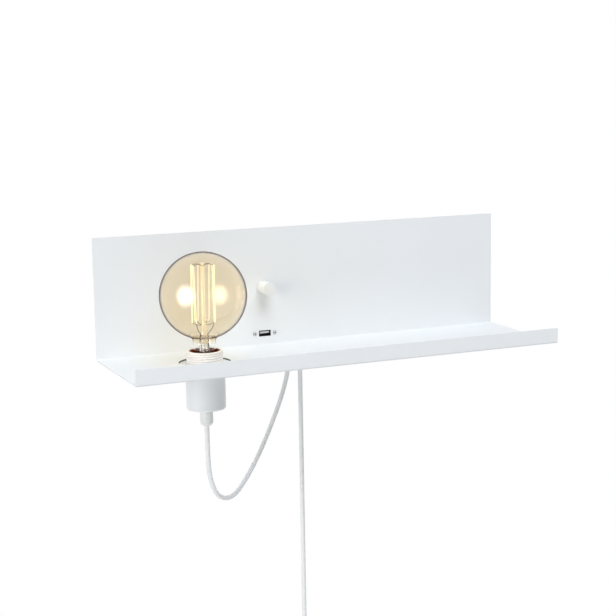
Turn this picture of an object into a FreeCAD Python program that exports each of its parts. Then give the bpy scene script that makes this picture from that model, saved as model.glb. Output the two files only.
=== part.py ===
import FreeCAD, Part
import math
import os

import Sketcher

# Wall lamp with shelf: a folded steel panel and shelf on a shallow rear housing, an upright
# lampholder through the shelf with a clear globe bulb, a dimmer knob and a charging port.
# Millimetres. Origin at the middle of the wall bracket's rear face, on the wall. +X runs
# along the wall to the right, -Y comes out of the wall towards the room, +Z is up.

document = FreeCAD.newDocument("wall_lamp_with_shelf")
sheet = document.addObject("Spreadsheet::Sheet", "Dimensions")


class Size:
    """A length that knows its number and the spreadsheet expression that gives it."""

    def __init__(self, number, text=None):
        self.number = float(number)
        self.text = text or f"{float(number):.6f}"

    def __add__(self, other):
        other = as_size(other)
        return Size(self.number + other.number, f"({self.text} + {other.text})")

    def __sub__(self, other):
        other = as_size(other)
        return Size(self.number - other.number, f"({self.text} - {other.text})")

    def __mul__(self, other):
        other = as_size(other)
        return Size(self.number * other.number, f"({self.text} * {other.text})")

    def __truediv__(self, other):
        other = as_size(other)
        return Size(self.number / other.number, f"({self.text} / {other.text})")

    def __neg__(self):
        return Size(-self.number, f"(-1 * {self.text})")

    def __radd__(self, other):
        return as_size(other) + self

    def __rsub__(self, other):
        return as_size(other) - self

    def __rmul__(self, other):
        return as_size(other) * self


def as_size(value):
    return value if isinstance(value, Size) else Size(value)


def root(size):
    return Size(math.sqrt(size.number), f"sqrt({size.text})")


driving_rows = []


def driving(alias, number):
    """One driving dimension: a row of the sheet, with its name beside it."""
    row = len(driving_rows) + 1
    driving_rows.append(alias)
    sheet.set(f"A{row}", alias)
    sheet.set(f"B{row}", str(number))
    sheet.setAlias(f"B{row}", alias)
    sheet.recompute()
    return Size(float(sheet.get(alias)), f"Dimensions.{alias}")


# ---------------------------------------------------------------- driving dimensions
# folded panel and shelf
panel_width = driving("panel_width", 500)
panel_height = driving("panel_height", 135)
shelf_depth = driving("shelf_depth", 149)
lip_height = driving("lip_height", 17.5)
steel = driving("steel_thickness", 1.5)
bend_radius = driving("bend_radius", 2)
standoff = driving("panel_standoff", 28)
shelf_level = driving("shelf_level", -85)
# rear housing, its cover and the wall bracket
housing_half_width = driving("housing_half_width", 130)
housing_bottom = driving("housing_bottom", -82)
housing_top = driving("housing_top", 28)
housing_wall = driving("housing_wall", 1)
flange_width = driving("flange_width", 8)
cover_left = driving("cover_left", -84)
cover_right = driving("cover_right", 68)
cover_rear = driving("cover_rear", -8)
cover_inset = driving("cover_screw_inset", 4)
bracket_half_width = driving("bracket_half_width", 128.5)
bracket_half_height = driving("bracket_half_height", 15)
bracket_steel = driving("bracket_steel", 2)
slot_spacing = driving("wall_slot_spacing", 210)
slot_length = driving("wall_slot_length", 14)
slot_width = driving("wall_slot_width", 5.5)
lock_depth = driving("locking_screw_depth", 11)
# lampholder on the shelf
holder_x = driving("holder_x", -151.5)
holder_y = driving("holder_y", -105.5)
thread_radius = driving("holder_thread_radius", 20)
mouth_rise = driving("holder_mouth_rise", 15.5)
mouth_radius = driving("holder_mouth_radius", 16.75)
dome_radius = driving("dome_radius", 21.5)
dome_drop = driving("dome_drop", 48.75)
seam_drop = driving("dome_seam_drop", 12)
ring_radius = driving("shade_ring_radius", 29)
ring_thickness = driving("shade_ring_thickness", 2.6)
grip_radius = driving("cord_grip_radius", 7.2)
grip_length = driving("cord_grip_length", 18.5)
carrier_top = driving("carrier_drop", -17)
shell_radius = driving("screw_shell_radius", 13.2)
# globe bulb
globe_radius = driving("globe_radius", 47.2)
globe_rise = driving("globe_centre_rise", 75)
glass = driving("glass_thickness", 0.8)
neck_radius = driving("glass_neck_radius", 12.2)
neck_fillet = driving("glass_neck_fillet", 6)
cap_radius = driving("bulb_cap_radius", 12.8)
cap_rim = driving("bulb_cap_rim_rise", 11)
cap_tip = driving("bulb_cap_tip_drop", -15.5)
cage_radius = driving("filament_cage_radius", 13)
cage_bottom = driving("filament_cage_bottom", 46)
cage_top = driving("filament_cage_top", 108)
coil_wire = driving("filament_coil_diameter", 0.9)
# dimmer and charging port
dimmer_x = driving("dimmer_x", -51.5)
dimmer_z = driving("dimmer_z", -18)
knob_radius = driving("knob_radius", 7.5)
knob_front = driving("knob_front", 21)
shaft_radius = driving("dimmer_shaft_radius", 3)
port_x = driving("port_x", -50.5)
port_z = driving("port_z", -72.4)
port_cut_width = driving("port_cutout_width", 14.7)
port_cut_height = driving("port_cutout_height", 7)
port_screw_spacing = driving("port_screw_spacing", 24.6)
# cords
cord_diameter = driving("cord_diameter", 5.4)
cord_wall_gap = driving("cord_exit_depth", -14)
mains_x = driving("mains_exit_x", -1.5)
lamp_cord_x = driving("lamp_cord_exit_x", -15.5)
bush_end = driving("bush_lower_end", -104)
coil_pitch = driving("coil_pitch", 5.95)
coil_outer = driving("coil_outer_radius", 36.2)
coil_turns = driving("coil_whole_turns", 7)
coil_layers = driving("coil_layers", 4)
coil_entry = driving("coil_entry_angle", 48)
bend_to_coil = driving("mains_bend_radius", 27)
mains_straight_end = driving("mains_straight_end", -434)
tail_length = driving("mains_tail_length", 46)
document.recompute()


# ---------------------------------------------------------------- ways to make a piece
def new_body(label, at=(0, 0, 0), turn=None):
    """A body at a place given by sizes, turned by an axis and an angle if it needs it."""
    body = document.addObject("PartDesign::Body", label)
    body.Label = label
    if turn:
        body.Placement = FreeCAD.Placement(FreeCAD.Vector(), FreeCAD.Rotation(*turn))
    for axis, size in zip("xyz", at):
        body.setExpression(f".Placement.Base.{axis}", as_size(size).text)
    return body


TOWARDS_ROOM = (FreeCAD.Vector(1, 0, 0), 90)    # a piece's own +Z comes out of the wall


def sketch_on(body, plane, offset=0):
    """An empty sketch on one of the body's own origin planes, moved along its normal."""
    sketch = body.newObject("Sketcher::SketchObject", "Outline")
    origin = [part for part in body.Origin.OriginFeatures if part.Role == plane + "_Plane"]
    sketch.AttachmentSupport = (origin[0], [""])
    sketch.MapMode = "FlatFace"
    if as_size(offset).number:
        sketch.setExpression(".AttachmentOffset.Base.z", as_size(offset).text)
    return sketch


def hold(sketch, kind, geometry, position, size):
    """Fix one coordinate of a point of the sketch to a size."""
    if abs(size.number) < 1e-9:
        axis = -2 if kind == "DistanceX" else -1
        sketch.addConstraint(Sketcher.Constraint("PointOnObject", geometry, position, axis))
        return
    index = sketch.addConstraint(
        Sketcher.Constraint(kind, -1, 1, geometry, position, size.number))
    sketch.setExpression(f"Constraints[{index}]", size.text)


def arc_between(start, end, radius, side):
    """The arc under a half circle from start to end; side 1 turns left, -1 turns right."""
    chord = end - start
    middle = (start + end) / 2
    left = FreeCAD.Vector(-chord.y, chord.x, 0).normalize()
    centre = middle + left * (side * math.sqrt(max(radius ** 2 - chord.Length ** 2 / 4, 0)))
    first = math.atan2(start.y - centre.y, start.x - centre.x)
    last = math.atan2(end.y - centre.y, end.x - centre.x)
    if side < 0:
        first, last = last, first
    if last < first:
        last += 2 * math.pi
    circle = Part.Circle(centre, FreeCAD.Vector(0, 0, 1), radius)
    return Part.ArcOfCircle(circle, first, last)


def outline(sketch, points):
    """A closed outline. A point is (x, y), or (x, y, radius, side) at the end of an arc."""
    rows = [[as_size(value) for value in point] for point in points]
    places = [FreeCAD.Vector(row[0].number, row[1].number, 0) for row in rows]
    ends = []
    for index, place in enumerate(places):
        following = (index + 1) % len(rows)
        row = rows[following]
        if len(row) == 4:
            side = row[3].number
            curve = arc_between(place, places[following], row[2].number, side)
            geometry = sketch.addGeometry(curve)
            chord = places[following] - place
            if chord.Length < 2 * row[2].number - 1e-6:
                radius = sketch.addConstraint(
                    Sketcher.Constraint("Radius", geometry, row[2].number))
                sketch.setExpression(f"Constraints[{radius}]", row[2].text)
            elif abs(chord.y) > abs(chord.x):
                hold(sketch, "DistanceX", geometry, 3, (rows[index][0] + row[0]) / 2)
            else:
                hold(sketch, "DistanceY", geometry, 3, (rows[index][1] + row[1]) / 2)
            ends.append((geometry, 1, 2) if side > 0 else (geometry, 2, 1))
        else:
            line = Part.LineSegment(place, places[following])
            ends.append((sketch.addGeometry(line), 1, 2))
    for index, (geometry, start, end) in enumerate(ends):
        after = ends[(index + 1) % len(ends)]
        sketch.addConstraint(
            Sketcher.Constraint("Coincident", geometry, end, after[0], after[1]))
        hold(sketch, "DistanceX", geometry, start, rows[index][0])
        hold(sketch, "DistanceY", geometry, start, rows[index][1])
    return sketch


def rectangle(sketch, left, low, right, high):
    return outline(sketch, [(left, low), (right, low), (right, high), (left, high)])


def circle(sketch, x, y, radius):
    x, y, radius = as_size(x), as_size(y), as_size(radius)
    centre = FreeCAD.Vector(x.number, y.number, 0)
    geometry = sketch.addGeometry(Part.Circle(centre, FreeCAD.Vector(0, 0, 1), radius.number))
    index = sketch.addConstraint(Sketcher.Constraint("Radius", geometry, radius.number))
    sketch.setExpression(f"Constraints[{index}]", radius.text)
    hold(sketch, "DistanceX", geometry, 3, x)
    hold(sketch, "DistanceY", geometry, 3, y)
    return sketch


def pad(body, sketch, length, symmetric=False, backwards=False):
    feature = body.newObject("PartDesign::Pad", "Pad")
    feature.Profile = sketch
    feature.setExpression("Length", as_size(length).text)
    feature.Reversed = backwards
    if symmetric:
        feature.SideType = "Symmetric"
    return feature


def pocket(body, sketch, depth, backwards=False, symmetric=False):
    """Cut a sketch out, against the plane's normal, and make sure that it took something."""
    document.recompute()
    before = body.Shape.Volume
    feature = body.newObject("PartDesign::Pocket", "Pocket")
    feature.Profile = sketch
    feature.setExpression("Length", as_size(depth).text)
    feature.Reversed = backwards
    if symmetric:
        feature.SideType = "Symmetric"
    document.recompute()
    if body.Shape.Volume > before - 0.01:
        raise RuntimeError(f"a cut in {body.Label} takes nothing away")
    return feature


def revolve(body, points, plane="XZ"):
    feature = body.newObject("PartDesign::Revolution", "Revolution")
    sketch = outline(sketch_on(body, plane), points)
    feature.Profile = sketch
    feature.ReferenceAxis = (sketch, ["V_Axis"])
    feature.Angle = 360
    return feature


def revolved_body(label, at, points, turn=None):
    body = new_body(label, at, turn)
    revolve(body, points)
    return body


def dress(body, kind, size, chosen):
    """Round or bevel the edges that the test picks by their middle point."""
    document.recompute()
    tip = body.Tip
    names = []
    for number, edge in enumerate(tip.Shape.Edges, 1):
        low, high = edge.ParameterRange
        if chosen(edge.valueAt((low + high) / 2), edge):
            names.append(f"Edge{number}")
    feature = body.newObject("PartDesign::" + kind, kind)
    feature.Base = (tip, names)
    feature.setExpression("Radius" if kind == "Fillet" else "Size", as_size(size).text)
    return feature


pieces = []


def keep(*bodies):
    pieces.extend(bodies)


def plain_shape(label, shape):
    """A piece whose shape is worked out here, from the sizes in the sheet."""
    feature = document.addObject("Part::Feature", label)
    feature.Label = label
    feature.Shape = shape
    keep(feature)
    return feature


def rounded_path(points, radius=None):
    """Straight runs joined by tangent arcs, as large as both runs allow, or of one radius."""
    edges = []
    radii = []
    start = points[0]
    for before, corner, after in zip(points, points[1:], points[2:]):
        incoming = corner - before
        outgoing = after - corner
        half_turn = incoming.getAngle(outgoing) / 2
        shorter = min(incoming.Length, outgoing.Length)
        bend = radius or 0.45 * shorter / math.tan(half_turn)
        reach = bend * math.tan(half_turn)
        incoming.normalize()
        outgoing.normalize()
        first = corner - incoming * reach
        last = corner + outgoing * reach
        towards_centre = (outgoing - incoming).normalize()
        centre = corner + towards_centre * (bend / math.cos(half_turn))
        middle = centre - towards_centre * bend
        edges.append(Part.LineSegment(start, first).toShape())
        edges.append(Part.Arc(first, middle, last).toShape())
        radii.append(bend)
        start = last
    edges.append(Part.LineSegment(start, points[-1]).toShape())
    return Part.Wire(edges), radii


def tube(path, direction, radius):
    """A round tube along a wire that sets out in a direction."""
    start = path.Vertexes[0].Point
    ring = Part.Wire(Part.Circle(start, direction, radius).toShape())
    shape = path.makePipeShell([ring], True, False)
    return shape


def round_tube(points, diameter, radius=None):
    path, radii = rounded_path(points, radius)
    return tube(path, points[1] - points[0], diameter / 2), path.Length, radii


def point(x, y, z):
    return FreeCAD.Vector(x, y, z)


# ---------------------------------------------------------------- panel, shelf and lip
# One steel sheet: the panel stands up, the shelf comes forward, and the lip turns up.
shelf_panel = new_body("shelf_panel", (0, -standoff, shelf_level))
inner_bend = bend_radius - steel
folded_profile = [
    (steel, panel_height),
    (0, panel_height),
    (0, inner_bend),
    (-inner_bend, 0, inner_bend, -1),
    (-shelf_depth + steel + inner_bend, 0),
    (-shelf_depth + steel, inner_bend, inner_bend, -1),
    (-shelf_depth + steel, lip_height - steel),
    (-shelf_depth, lip_height - steel),
    (-shelf_depth, bend_radius - steel),
    (-shelf_depth + bend_radius, -steel, bend_radius, 1),
    (steel - bend_radius, -steel),
    (steel, bend_radius - steel, bend_radius, 1),
]
pad(shelf_panel, outline(sketch_on(shelf_panel, "YZ"), folded_profile), panel_width, symmetric=True)
holder_hole = circle(sketch_on(shelf_panel, "XY"), holder_x, holder_y + standoff,
                     thread_radius + 0.25)
pocket(shelf_panel, holder_hole, steel * 2)
knob_hole = circle(sketch_on(shelf_panel, "XZ"), dimmer_x, dimmer_z - shelf_level, 3.6)
pocket(shelf_panel, knob_hole, steel * 2)
port_hole = rectangle(
    sketch_on(shelf_panel, "XZ"),
    port_x - port_cut_width / 2, port_z - shelf_level - port_cut_height / 2,
    port_x + port_cut_width / 2, port_z - shelf_level + port_cut_height / 2)
pocket(shelf_panel, port_hole, steel * 2)
port_screw_holes = sketch_on(shelf_panel, "XZ")
for side in (-1, 1):
    circle(port_screw_holes, port_x + side * port_screw_spacing / 2, port_z - shelf_level, 1.3)
pocket(shelf_panel, port_screw_holes, steel * 2)
keep(shelf_panel)

# ---------------------------------------------------------------- rear housing
# Four folded walls, spot welded to the panel's back by flanges; its rear rim meets the wall.
panel_back = steel - standoff
housing_depth = -panel_back
rear_housing = new_body("rear_housing", (0, panel_back, 0))
walls = sketch_on(rear_housing, "XZ")
rectangle(walls, -housing_half_width, housing_bottom, housing_half_width, housing_top)
rectangle(walls, -housing_half_width + housing_wall, housing_bottom + housing_wall,
          housing_half_width - housing_wall, housing_top - housing_wall)
pad(rear_housing, walls, housing_depth, backwards=True)
flanges = sketch_on(rear_housing, "XZ")
notch = flange_width / 2
rectangle(flanges, -housing_half_width + notch, housing_top - housing_wall,
          housing_half_width - notch, housing_top + flange_width)
for side in (-1, 1):
    near = side * (housing_half_width - housing_wall)
    far = side * (housing_half_width + flange_width)
    left, right = (far, near) if side < 0 else (near, far)
    rectangle(flanges, left, housing_bottom + notch, right, housing_top - notch)
    rectangle(flanges, side * 95 - 12, housing_bottom + 0.2, side * 95 + 12,
              housing_bottom + flange_width)
pad(rear_housing, flanges, housing_wall, backwards=True)
bush_holes = sketch_on(rear_housing, "XY", housing_bottom)
for exit_x in (mains_x, lamp_cord_x):
    circle(bush_holes, exit_x, cord_wall_gap - panel_back, 5)
pocket(rear_housing, bush_holes, housing_wall * 2, backwards=True)
lock_holes = circle(sketch_on(rear_housing, "YZ"), -lock_depth - panel_back, 0, 2.25)
pocket(rear_housing, lock_holes, housing_half_width * 2.2, symmetric=True)
keep(rear_housing)

# The inner cover keeps the live parts away from the wall screws: a plate on four posts.
cover_low = housing_bottom + 4
cover_high = housing_top - 2
post_places = [
    (x, z)
    for x in (cover_left + cover_inset, cover_right - cover_inset)
    for z in (cover_low + cover_inset, cover_high - cover_inset)
]
housing_cover = new_body("housing_cover", (0, cover_rear, 0))
pad(housing_cover, rectangle(sketch_on(housing_cover, "XZ"),
                             cover_left, cover_low, cover_right, cover_high), housing_wall)
document.recompute()
dress(housing_cover, "Fillet", 3, lambda middle, edge: edge.BoundBox.YLength > 0.5
      and edge.BoundBox.XLength < 0.1 and edge.BoundBox.ZLength < 0.1)
cover_holes = sketch_on(housing_cover, "XZ")
for x, z in post_places:
    circle(cover_holes, x, z, 1.6)
pocket(housing_cover, cover_holes, housing_wall * 4, symmetric=True)
keep(housing_cover)

cover_posts = new_body("cover_posts", (0, panel_back, 0))
posts = sketch_on(cover_posts, "XZ")
hexagon_radius = 3.2
for x, z in post_places:
    corners = [(x + hexagon_radius * math.cos(math.radians(60 * turn)),
                z + hexagon_radius * math.sin(math.radians(60 * turn))) for turn in range(6)]
    outline(posts, corners)
post_length = cover_rear - housing_wall - panel_back
pad(cover_posts, posts, post_length, backwards=True)
post_bores = sketch_on(cover_posts, "XZ", -post_length)
for x, z in post_places:
    circle(post_bores, x, z, 1.5)
pocket(cover_posts, post_bores, 8, backwards=True)
keep(cover_posts)


def screws(label, rear, places, head_radius, head_height, shank_radius, shank_length):
    """Pan-head screws on one plane that face the wall, one solid each."""
    group = new_body(label, (0, rear, 0))
    heads = sketch_on(group, "XZ")
    shanks = sketch_on(group, "XZ")
    for x, z in places:
        circle(heads, x, z, head_radius)
        circle(shanks, x, z, shank_radius)
    pad(group, heads, head_height, backwards=True)
    pad(group, shanks, shank_length)
    dress(group, "Fillet", head_height * 0.6,
          lambda middle, edge: middle.y > head_height * 0.95)
    keep(group)
    return group


screws("cover_screws", cover_rear, post_places, 2.8, 1.8, 1.5, 6)

# ---------------------------------------------------------------- wall bracket
# A strap with two level slots for wall screws and an ear folded forward at each end.
wall_bracket = new_body("wall_bracket")
bracket_bend = bracket_steel * 1.5
ear_reach = 17
strap_profile = [
    (-bracket_half_width, -ear_reach),
    (-bracket_half_width + bracket_steel, -ear_reach),
    (-bracket_half_width + bracket_steel, -bracket_bend),
    (-bracket_half_width + bracket_bend, -bracket_steel, bracket_bend - bracket_steel, -1),
    (bracket_half_width - bracket_bend, -bracket_steel),
    (bracket_half_width - bracket_steel, -bracket_bend, bracket_bend - bracket_steel, -1),
    (bracket_half_width - bracket_steel, -ear_reach),
    (bracket_half_width, -ear_reach),
    (bracket_half_width, -bracket_bend),
    (bracket_half_width - bracket_bend, 0, bracket_bend, 1),
    (-bracket_half_width + bracket_bend, 0),
    (-bracket_half_width, -bracket_bend, bracket_bend, 1),
]
pad(wall_bracket, outline(sketch_on(wall_bracket, "XY"), strap_profile),
    bracket_half_height * 2, symmetric=True)
slots = sketch_on(wall_bracket, "XZ")
slot_flat = (slot_length - slot_width) / 2
for side in (-1, 1):
    middle = slot_spacing / 2 * side
    outline(slots, [
        (middle - slot_flat, -slot_width / 2, slot_width / 2, 1),
        (middle + slot_flat, -slot_width / 2),
        (middle + slot_flat, slot_width / 2, slot_width / 2, 1),
        (middle - slot_flat, slot_width / 2),
    ])
pocket(wall_bracket, slots, bracket_steel * 3, symmetric=True)
ear_holes = circle(sketch_on(wall_bracket, "YZ"), -lock_depth, 0, 2)
pocket(wall_bracket, ear_holes, bracket_half_width * 2.2, symmetric=True)
nut_inner = bracket_half_width - bracket_steel
nut_thickness = 3
for side in (-1, 1):
    offset = nut_inner - nut_thickness if side > 0 else -nut_inner
    weld_nut = sketch_on(wall_bracket, "YZ", offset)
    circle(weld_nut, -lock_depth, 0, 3.9)
    circle(weld_nut, -lock_depth, 0, 2)
    pad(wall_bracket, weld_nut, nut_thickness)
keep(wall_bracket)

# Two screws through the housing's ends into the bracket's nuts lock the lamp on the wall.
locking_screws = new_body("locking_screws")
for side in (-1, 1):
    head_height = 2.2
    shank = housing_half_width - nut_inner + nut_thickness
    head_at = housing_half_width if side > 0 else -housing_half_width - head_height
    shank_at = housing_half_width - shank if side > 0 else -housing_half_width
    head = circle(sketch_on(locking_screws, "YZ", head_at), -lock_depth, 0, 3.8)
    pad(locking_screws, head, head_height)
    stem = circle(sketch_on(locking_screws, "YZ", shank_at), -lock_depth, 0, 1.95)
    pad(locking_screws, stem, shank)
dress(locking_screws, "Fillet", 1.2,
      lambda middle, edge: abs(middle.x) > housing_half_width.number + 2)
keep(locking_screws)

# ---------------------------------------------------------------- lampholder
# Heights here are counted from the shelf's top; turned parts stand on the holder's axis.
holder = (holder_x, holder_y, shelf_level)
seat = -seam_drop
spigot_radius = dome_radius - 2.2
spigot_end = seat - 8
lampholder_sleeve = revolved_body("lampholder_sleeve", holder, [
    (mouth_radius, mouth_rise - 0.4),
    (mouth_radius + 0.4, mouth_rise, 0.4, -1),
    (thread_radius - 0.8, mouth_rise),
    (thread_radius, mouth_rise - 0.8),
    (thread_radius, -steel),
    (dome_radius, -steel),
    (dome_radius, seat),
    (spigot_radius, seat),
    (spigot_radius, spigot_end),
    (18, spigot_end),
    (18, mouth_rise - 2),
    (mouth_radius, mouth_rise - 2),
])
keep(lampholder_sleeve)

# The dark moulded liner keeps fingers off the screw shell and presses the carrier down.
liner_radius = 17.9
keep(revolved_body("lampholder_liner", holder, [
    (15.4, mouth_rise - 2),
    (liner_radius, mouth_rise - 2),
    (liner_radius, carrier_top),
    (16.4, carrier_top),
    (16.4, carrier_top + 8),
    (15.4, carrier_top + 10),
]))

keep(revolved_body("shade_ring", holder, [
    (thread_radius + 0.1, 0),
    (ring_radius - 0.5, 0),
    (ring_radius, 0.5, 0.5, 1),
    (ring_radius, ring_thickness - 1),
    (ring_radius - 1, ring_thickness, 1, 1),
    (thread_radius + 0.6, ring_thickness),
    (thread_radius + 0.1, ring_thickness - 0.5),
]))

carrier_thickness = 10
carrier_low = carrier_top - carrier_thickness
dome_wall = 2
dome_edge = 2.2
dome_floor = -dome_drop + dome_wall
keep(revolved_body("lampholder_dome", holder, [
    (5.1, -dome_drop),
    (dome_radius - dome_edge, -dome_drop),
    (dome_radius, -dome_drop + dome_edge, dome_edge, 1),
    (dome_radius, seat),
    (spigot_radius + 0.1, seat),
    (spigot_radius + 0.1, spigot_end - 0.5),
    (17.9, spigot_end - 0.5),
    (17.9, carrier_low),
    (16.9, carrier_low),
    (16.9, dome_floor),
    (5.1, dome_floor),
]))

# Ceramic contact carrier: a turned disc with a step for the shell and two wire ways.
contact_carrier = revolved_body("contact_carrier", holder, [
    (0, carrier_low),
    (17.4, carrier_low),
    (17.8, carrier_low + 0.4),
    (17.8, carrier_top),
    (0, carrier_top),
])
wire_ways = sketch_on(contact_carrier, "XY", carrier_top)
for side in (-1, 1):
    circle(wire_ways, 0, side * 11, 1.5)
pocket(contact_carrier, wire_ways, carrier_thickness * 2)
keep(contact_carrier)

shell_wall = 0.4
keep(revolved_body("screw_shell", holder, [
    (9, carrier_top),
    (shell_radius + shell_wall, carrier_top),
    (shell_radius + shell_wall, 6),
    (shell_radius, 6),
    (shell_radius, carrier_top + shell_wall),
    (9, carrier_top + shell_wall),
]))

# A springy brass strip stands on the carrier under the bulb's tip.
contact_gap = 0.3
leaf = 0.5
leaf_top = cap_tip - contact_gap
centre_contact = new_body("centre_contact", holder)
pad(centre_contact, outline(sketch_on(centre_contact, "XZ"), [
    (-7, carrier_top),
    (-4, carrier_top),
    (-1.5, leaf_top - leaf),
    (3, leaf_top - leaf),
    (3, leaf_top),
    (-1.8, leaf_top),
    (-4.3, carrier_top + leaf),
    (-7, carrier_top + leaf),
]), 5, symmetric=True)
keep(centre_contact)

terminal_width = 6
terminal_height = 7
holder_terminals = new_body("holder_terminals", holder)
blocks = sketch_on(holder_terminals, "XY", carrier_low)
entries = sketch_on(holder_terminals, "XY", carrier_low - terminal_height)
for side in (-1, 1):
    middle = 8.5 * side
    rectangle(blocks, middle - terminal_width / 2, -4, middle + terminal_width / 2, 4)
    circle(entries, middle, 0, 1.1)
pad(holder_terminals, blocks, terminal_height, backwards=True)
pocket(holder_terminals, entries, 5, backwards=True)
keep(holder_terminals)

cord_bore = cord_diameter / 2
cord_stub_top = dome_floor + 5
grip_bottom = -dome_drop - grip_length
cord_grip = revolved_body("cord_grip", holder, [
    (cord_bore, grip_bottom),
    (grip_radius - 2, grip_bottom),
    (grip_radius, grip_bottom + 2, 2, 1),
    (grip_radius, -dome_drop),
    (5, -dome_drop),
    (5, dome_floor + 3.4),
    (cord_bore, dome_floor + 3.4),
])
keep(cord_grip)
grip_nut = new_body("grip_nut", holder)
nut_sketch = sketch_on(grip_nut, "XY", dome_floor)
nut_corner = 8.1
outline(nut_sketch, [(nut_corner * math.cos(math.radians(60 * turn)),
                      nut_corner * math.sin(math.radians(60 * turn))) for turn in range(6)])
circle(nut_sketch, 0, 0, 5.05)
pad(grip_nut, nut_sketch, 2.6)
keep(grip_nut)

# ---------------------------------------------------------------- globe bulb
# Blown glass: globe, fillet and straight neck, sealed to the stem inside the cap.
fillet_x = neck_radius + neck_fillet
reach = globe_radius + neck_fillet
fillet_rise = root(reach * reach - fillet_x * fillet_x)
fillet_z = globe_rise - fillet_rise
inner_globe = globe_radius - glass
outer_join = globe_radius / reach
inner_join = inner_globe / reach
stem_radius = 5
glass_low = -2
keep(revolved_body("bulb_glass", holder, [
    (stem_radius, glass_low),
    (neck_radius - 1, glass_low),
    (neck_radius, glass_low + 1, 1, 1),
    (neck_radius, fillet_z),
    (fillet_x * outer_join, globe_rise - fillet_rise * outer_join, neck_fillet, -1),
    (globe_radius, globe_rise, globe_radius, 1),
    (0, globe_rise + globe_radius, globe_radius, 1),
    (0, globe_rise + inner_globe),
    (inner_globe, globe_rise, inner_globe, -1),
    (fillet_x * inner_join, globe_rise - fillet_rise * inner_join, inner_globe, -1),
    (neck_radius - glass, fillet_z, neck_fillet + glass, 1),
    (neck_radius - glass, glass_low + 1.2),
    (stem_radius, glass_low + 1.2),
]))

# Glass stem: a hollow flare tube, pressed shut round the leads, with a rod and a button.
press_top = 33
rod_radius = 2.3
button_rise = cage_top - 1
keep(revolved_body("bulb_stem", holder, [
    (0, press_top - 6),
    (3.4, press_top - 8),
    (4.2, press_top - 10),
    (4.2, glass_low),
    (stem_radius, glass_low),
    (stem_radius, press_top - 4),
    (3.2, press_top),
    (2.9, press_top + 10),
    (rod_radius, press_top + 13),
    (rod_radius, button_rise),
    (3.3, button_rise + 1),
    (3.3, button_rise + 2),
    (2.2, button_rise + 3.2),
    (0, button_rise + 3.4),
]))

cap_wall = 0.45
cap_low = cap_tip + 6
insulator_radius = 5.2
keep(revolved_body("bulb_cap", holder, [
    (11.2, cap_low - 0.4),
    (12.2, cap_low - 0.4),
    (cap_radius, cap_low + 0.4),
    (cap_radius, cap_rim - 1),
    (cap_radius + 0.4, cap_rim),
    (neck_radius + 0.15, cap_rim),
    (neck_radius + 0.15, cap_low + 1),
    (11.2, cap_low + 0.2),
]))
keep(revolved_body("cap_insulator", holder, [
    (0, cap_tip + 1.2),
    (insulator_radius, cap_tip + 1.2),
    (11.2, cap_low - 0.4),
    (11.2, cap_low + 0.6),
    (0, cap_low + 0.6),
]))
keep(revolved_body("cap_contact", holder, [
    (0, cap_tip),
    (3.4, cap_tip),
    (insulator_radius - 0.4, cap_tip + 0.7),
    (insulator_radius - 0.4, cap_tip + 1.2),
    (0, cap_tip + 1.2),
]))


def on_holder(radius, angle, rise):
    """A place round the holder's axis, at a height over the shelf."""
    turn = math.radians(angle)
    return point(holder_x.number + radius * math.cos(turn),
                 holder_y.number + radius * math.sin(turn),
                 shelf_level.number + rise)


# Squirrel-cage filament: one coiled wire, up and down over ten strands round the rod.
strands = 10
strand_step = 28.0
cage_start = -58.0
hook_radius = 2.3
half_gap = cage_radius.number * math.sin(math.radians(strand_step))
cage_height = cage_top.number - cage_bottom.number
overshoot = hook_radius * (cage_height / half_gap - 1) / (1 - 2 * hook_radius / half_gap)
end_share = overshoot / (cage_height + 2 * overshoot)
cage_points = []
for index in range(strands + 1):
    upper = index % 2
    rise = cage_top.number + overshoot if upper else cage_bottom.number - overshoot
    cage_points.append(on_holder(cage_radius.number, cage_start + index * strand_step, rise))
for end, beside in ((0, 1), (strands, strands - 1)):
    cage_points[end] += (cage_points[beside] - cage_points[end]) * end_share
filament, filament_length, _ = round_tube(cage_points, coil_wire.number, hook_radius)
plain_shape("filament", filament)

# Support wires reach out from the button and from the rod to every turn of the filament.
support_wire = 0.5
turn_radius = cage_radius.number * (1 - (1 - math.cos(math.radians(strand_step))) * end_share)
supports = []
for index in range(1, strands):
    angle = cage_start + index * strand_step
    upper = index % 2
    hub_rise = button_rise.number + 1.5 if upper else cage_bottom.number - 2.5
    tip_rise = cage_top.number if upper else cage_bottom.number
    lean = 1 if upper else -1
    hub = on_holder(rod_radius - 0.4, angle, hub_rise)
    knee = on_holder(turn_radius * 0.55, angle, hub_rise + lean * 0.8)
    tip = on_holder(turn_radius, angle, tip_rise - lean * 0.2)
    wire, _, _ = round_tube([hub, knee, tip], support_wire)
    supports.append(wire)
plain_shape("filament_supports", Part.makeCompound(supports))

# Two lead wires leave the press and carry the filament's ends.
leads = []
for end, side in ((cage_points[0], 1), (cage_points[strands], -1)):
    press = point(holder_x.number + side * 3.1, holder_y.number - 0.4, shelf_level.number + 24)
    rise_out = press + point(side * 1.4, 0, 10)
    bend_at = rise_out + (end - rise_out) * 0.5 + point(side * 0.6, 0, -1.5)
    wire, _, _ = round_tube([press, rise_out, bend_at, end], 0.7)
    leads.append(wire)
plain_shape("lead_wires", Part.makeCompound(leads))

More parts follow.
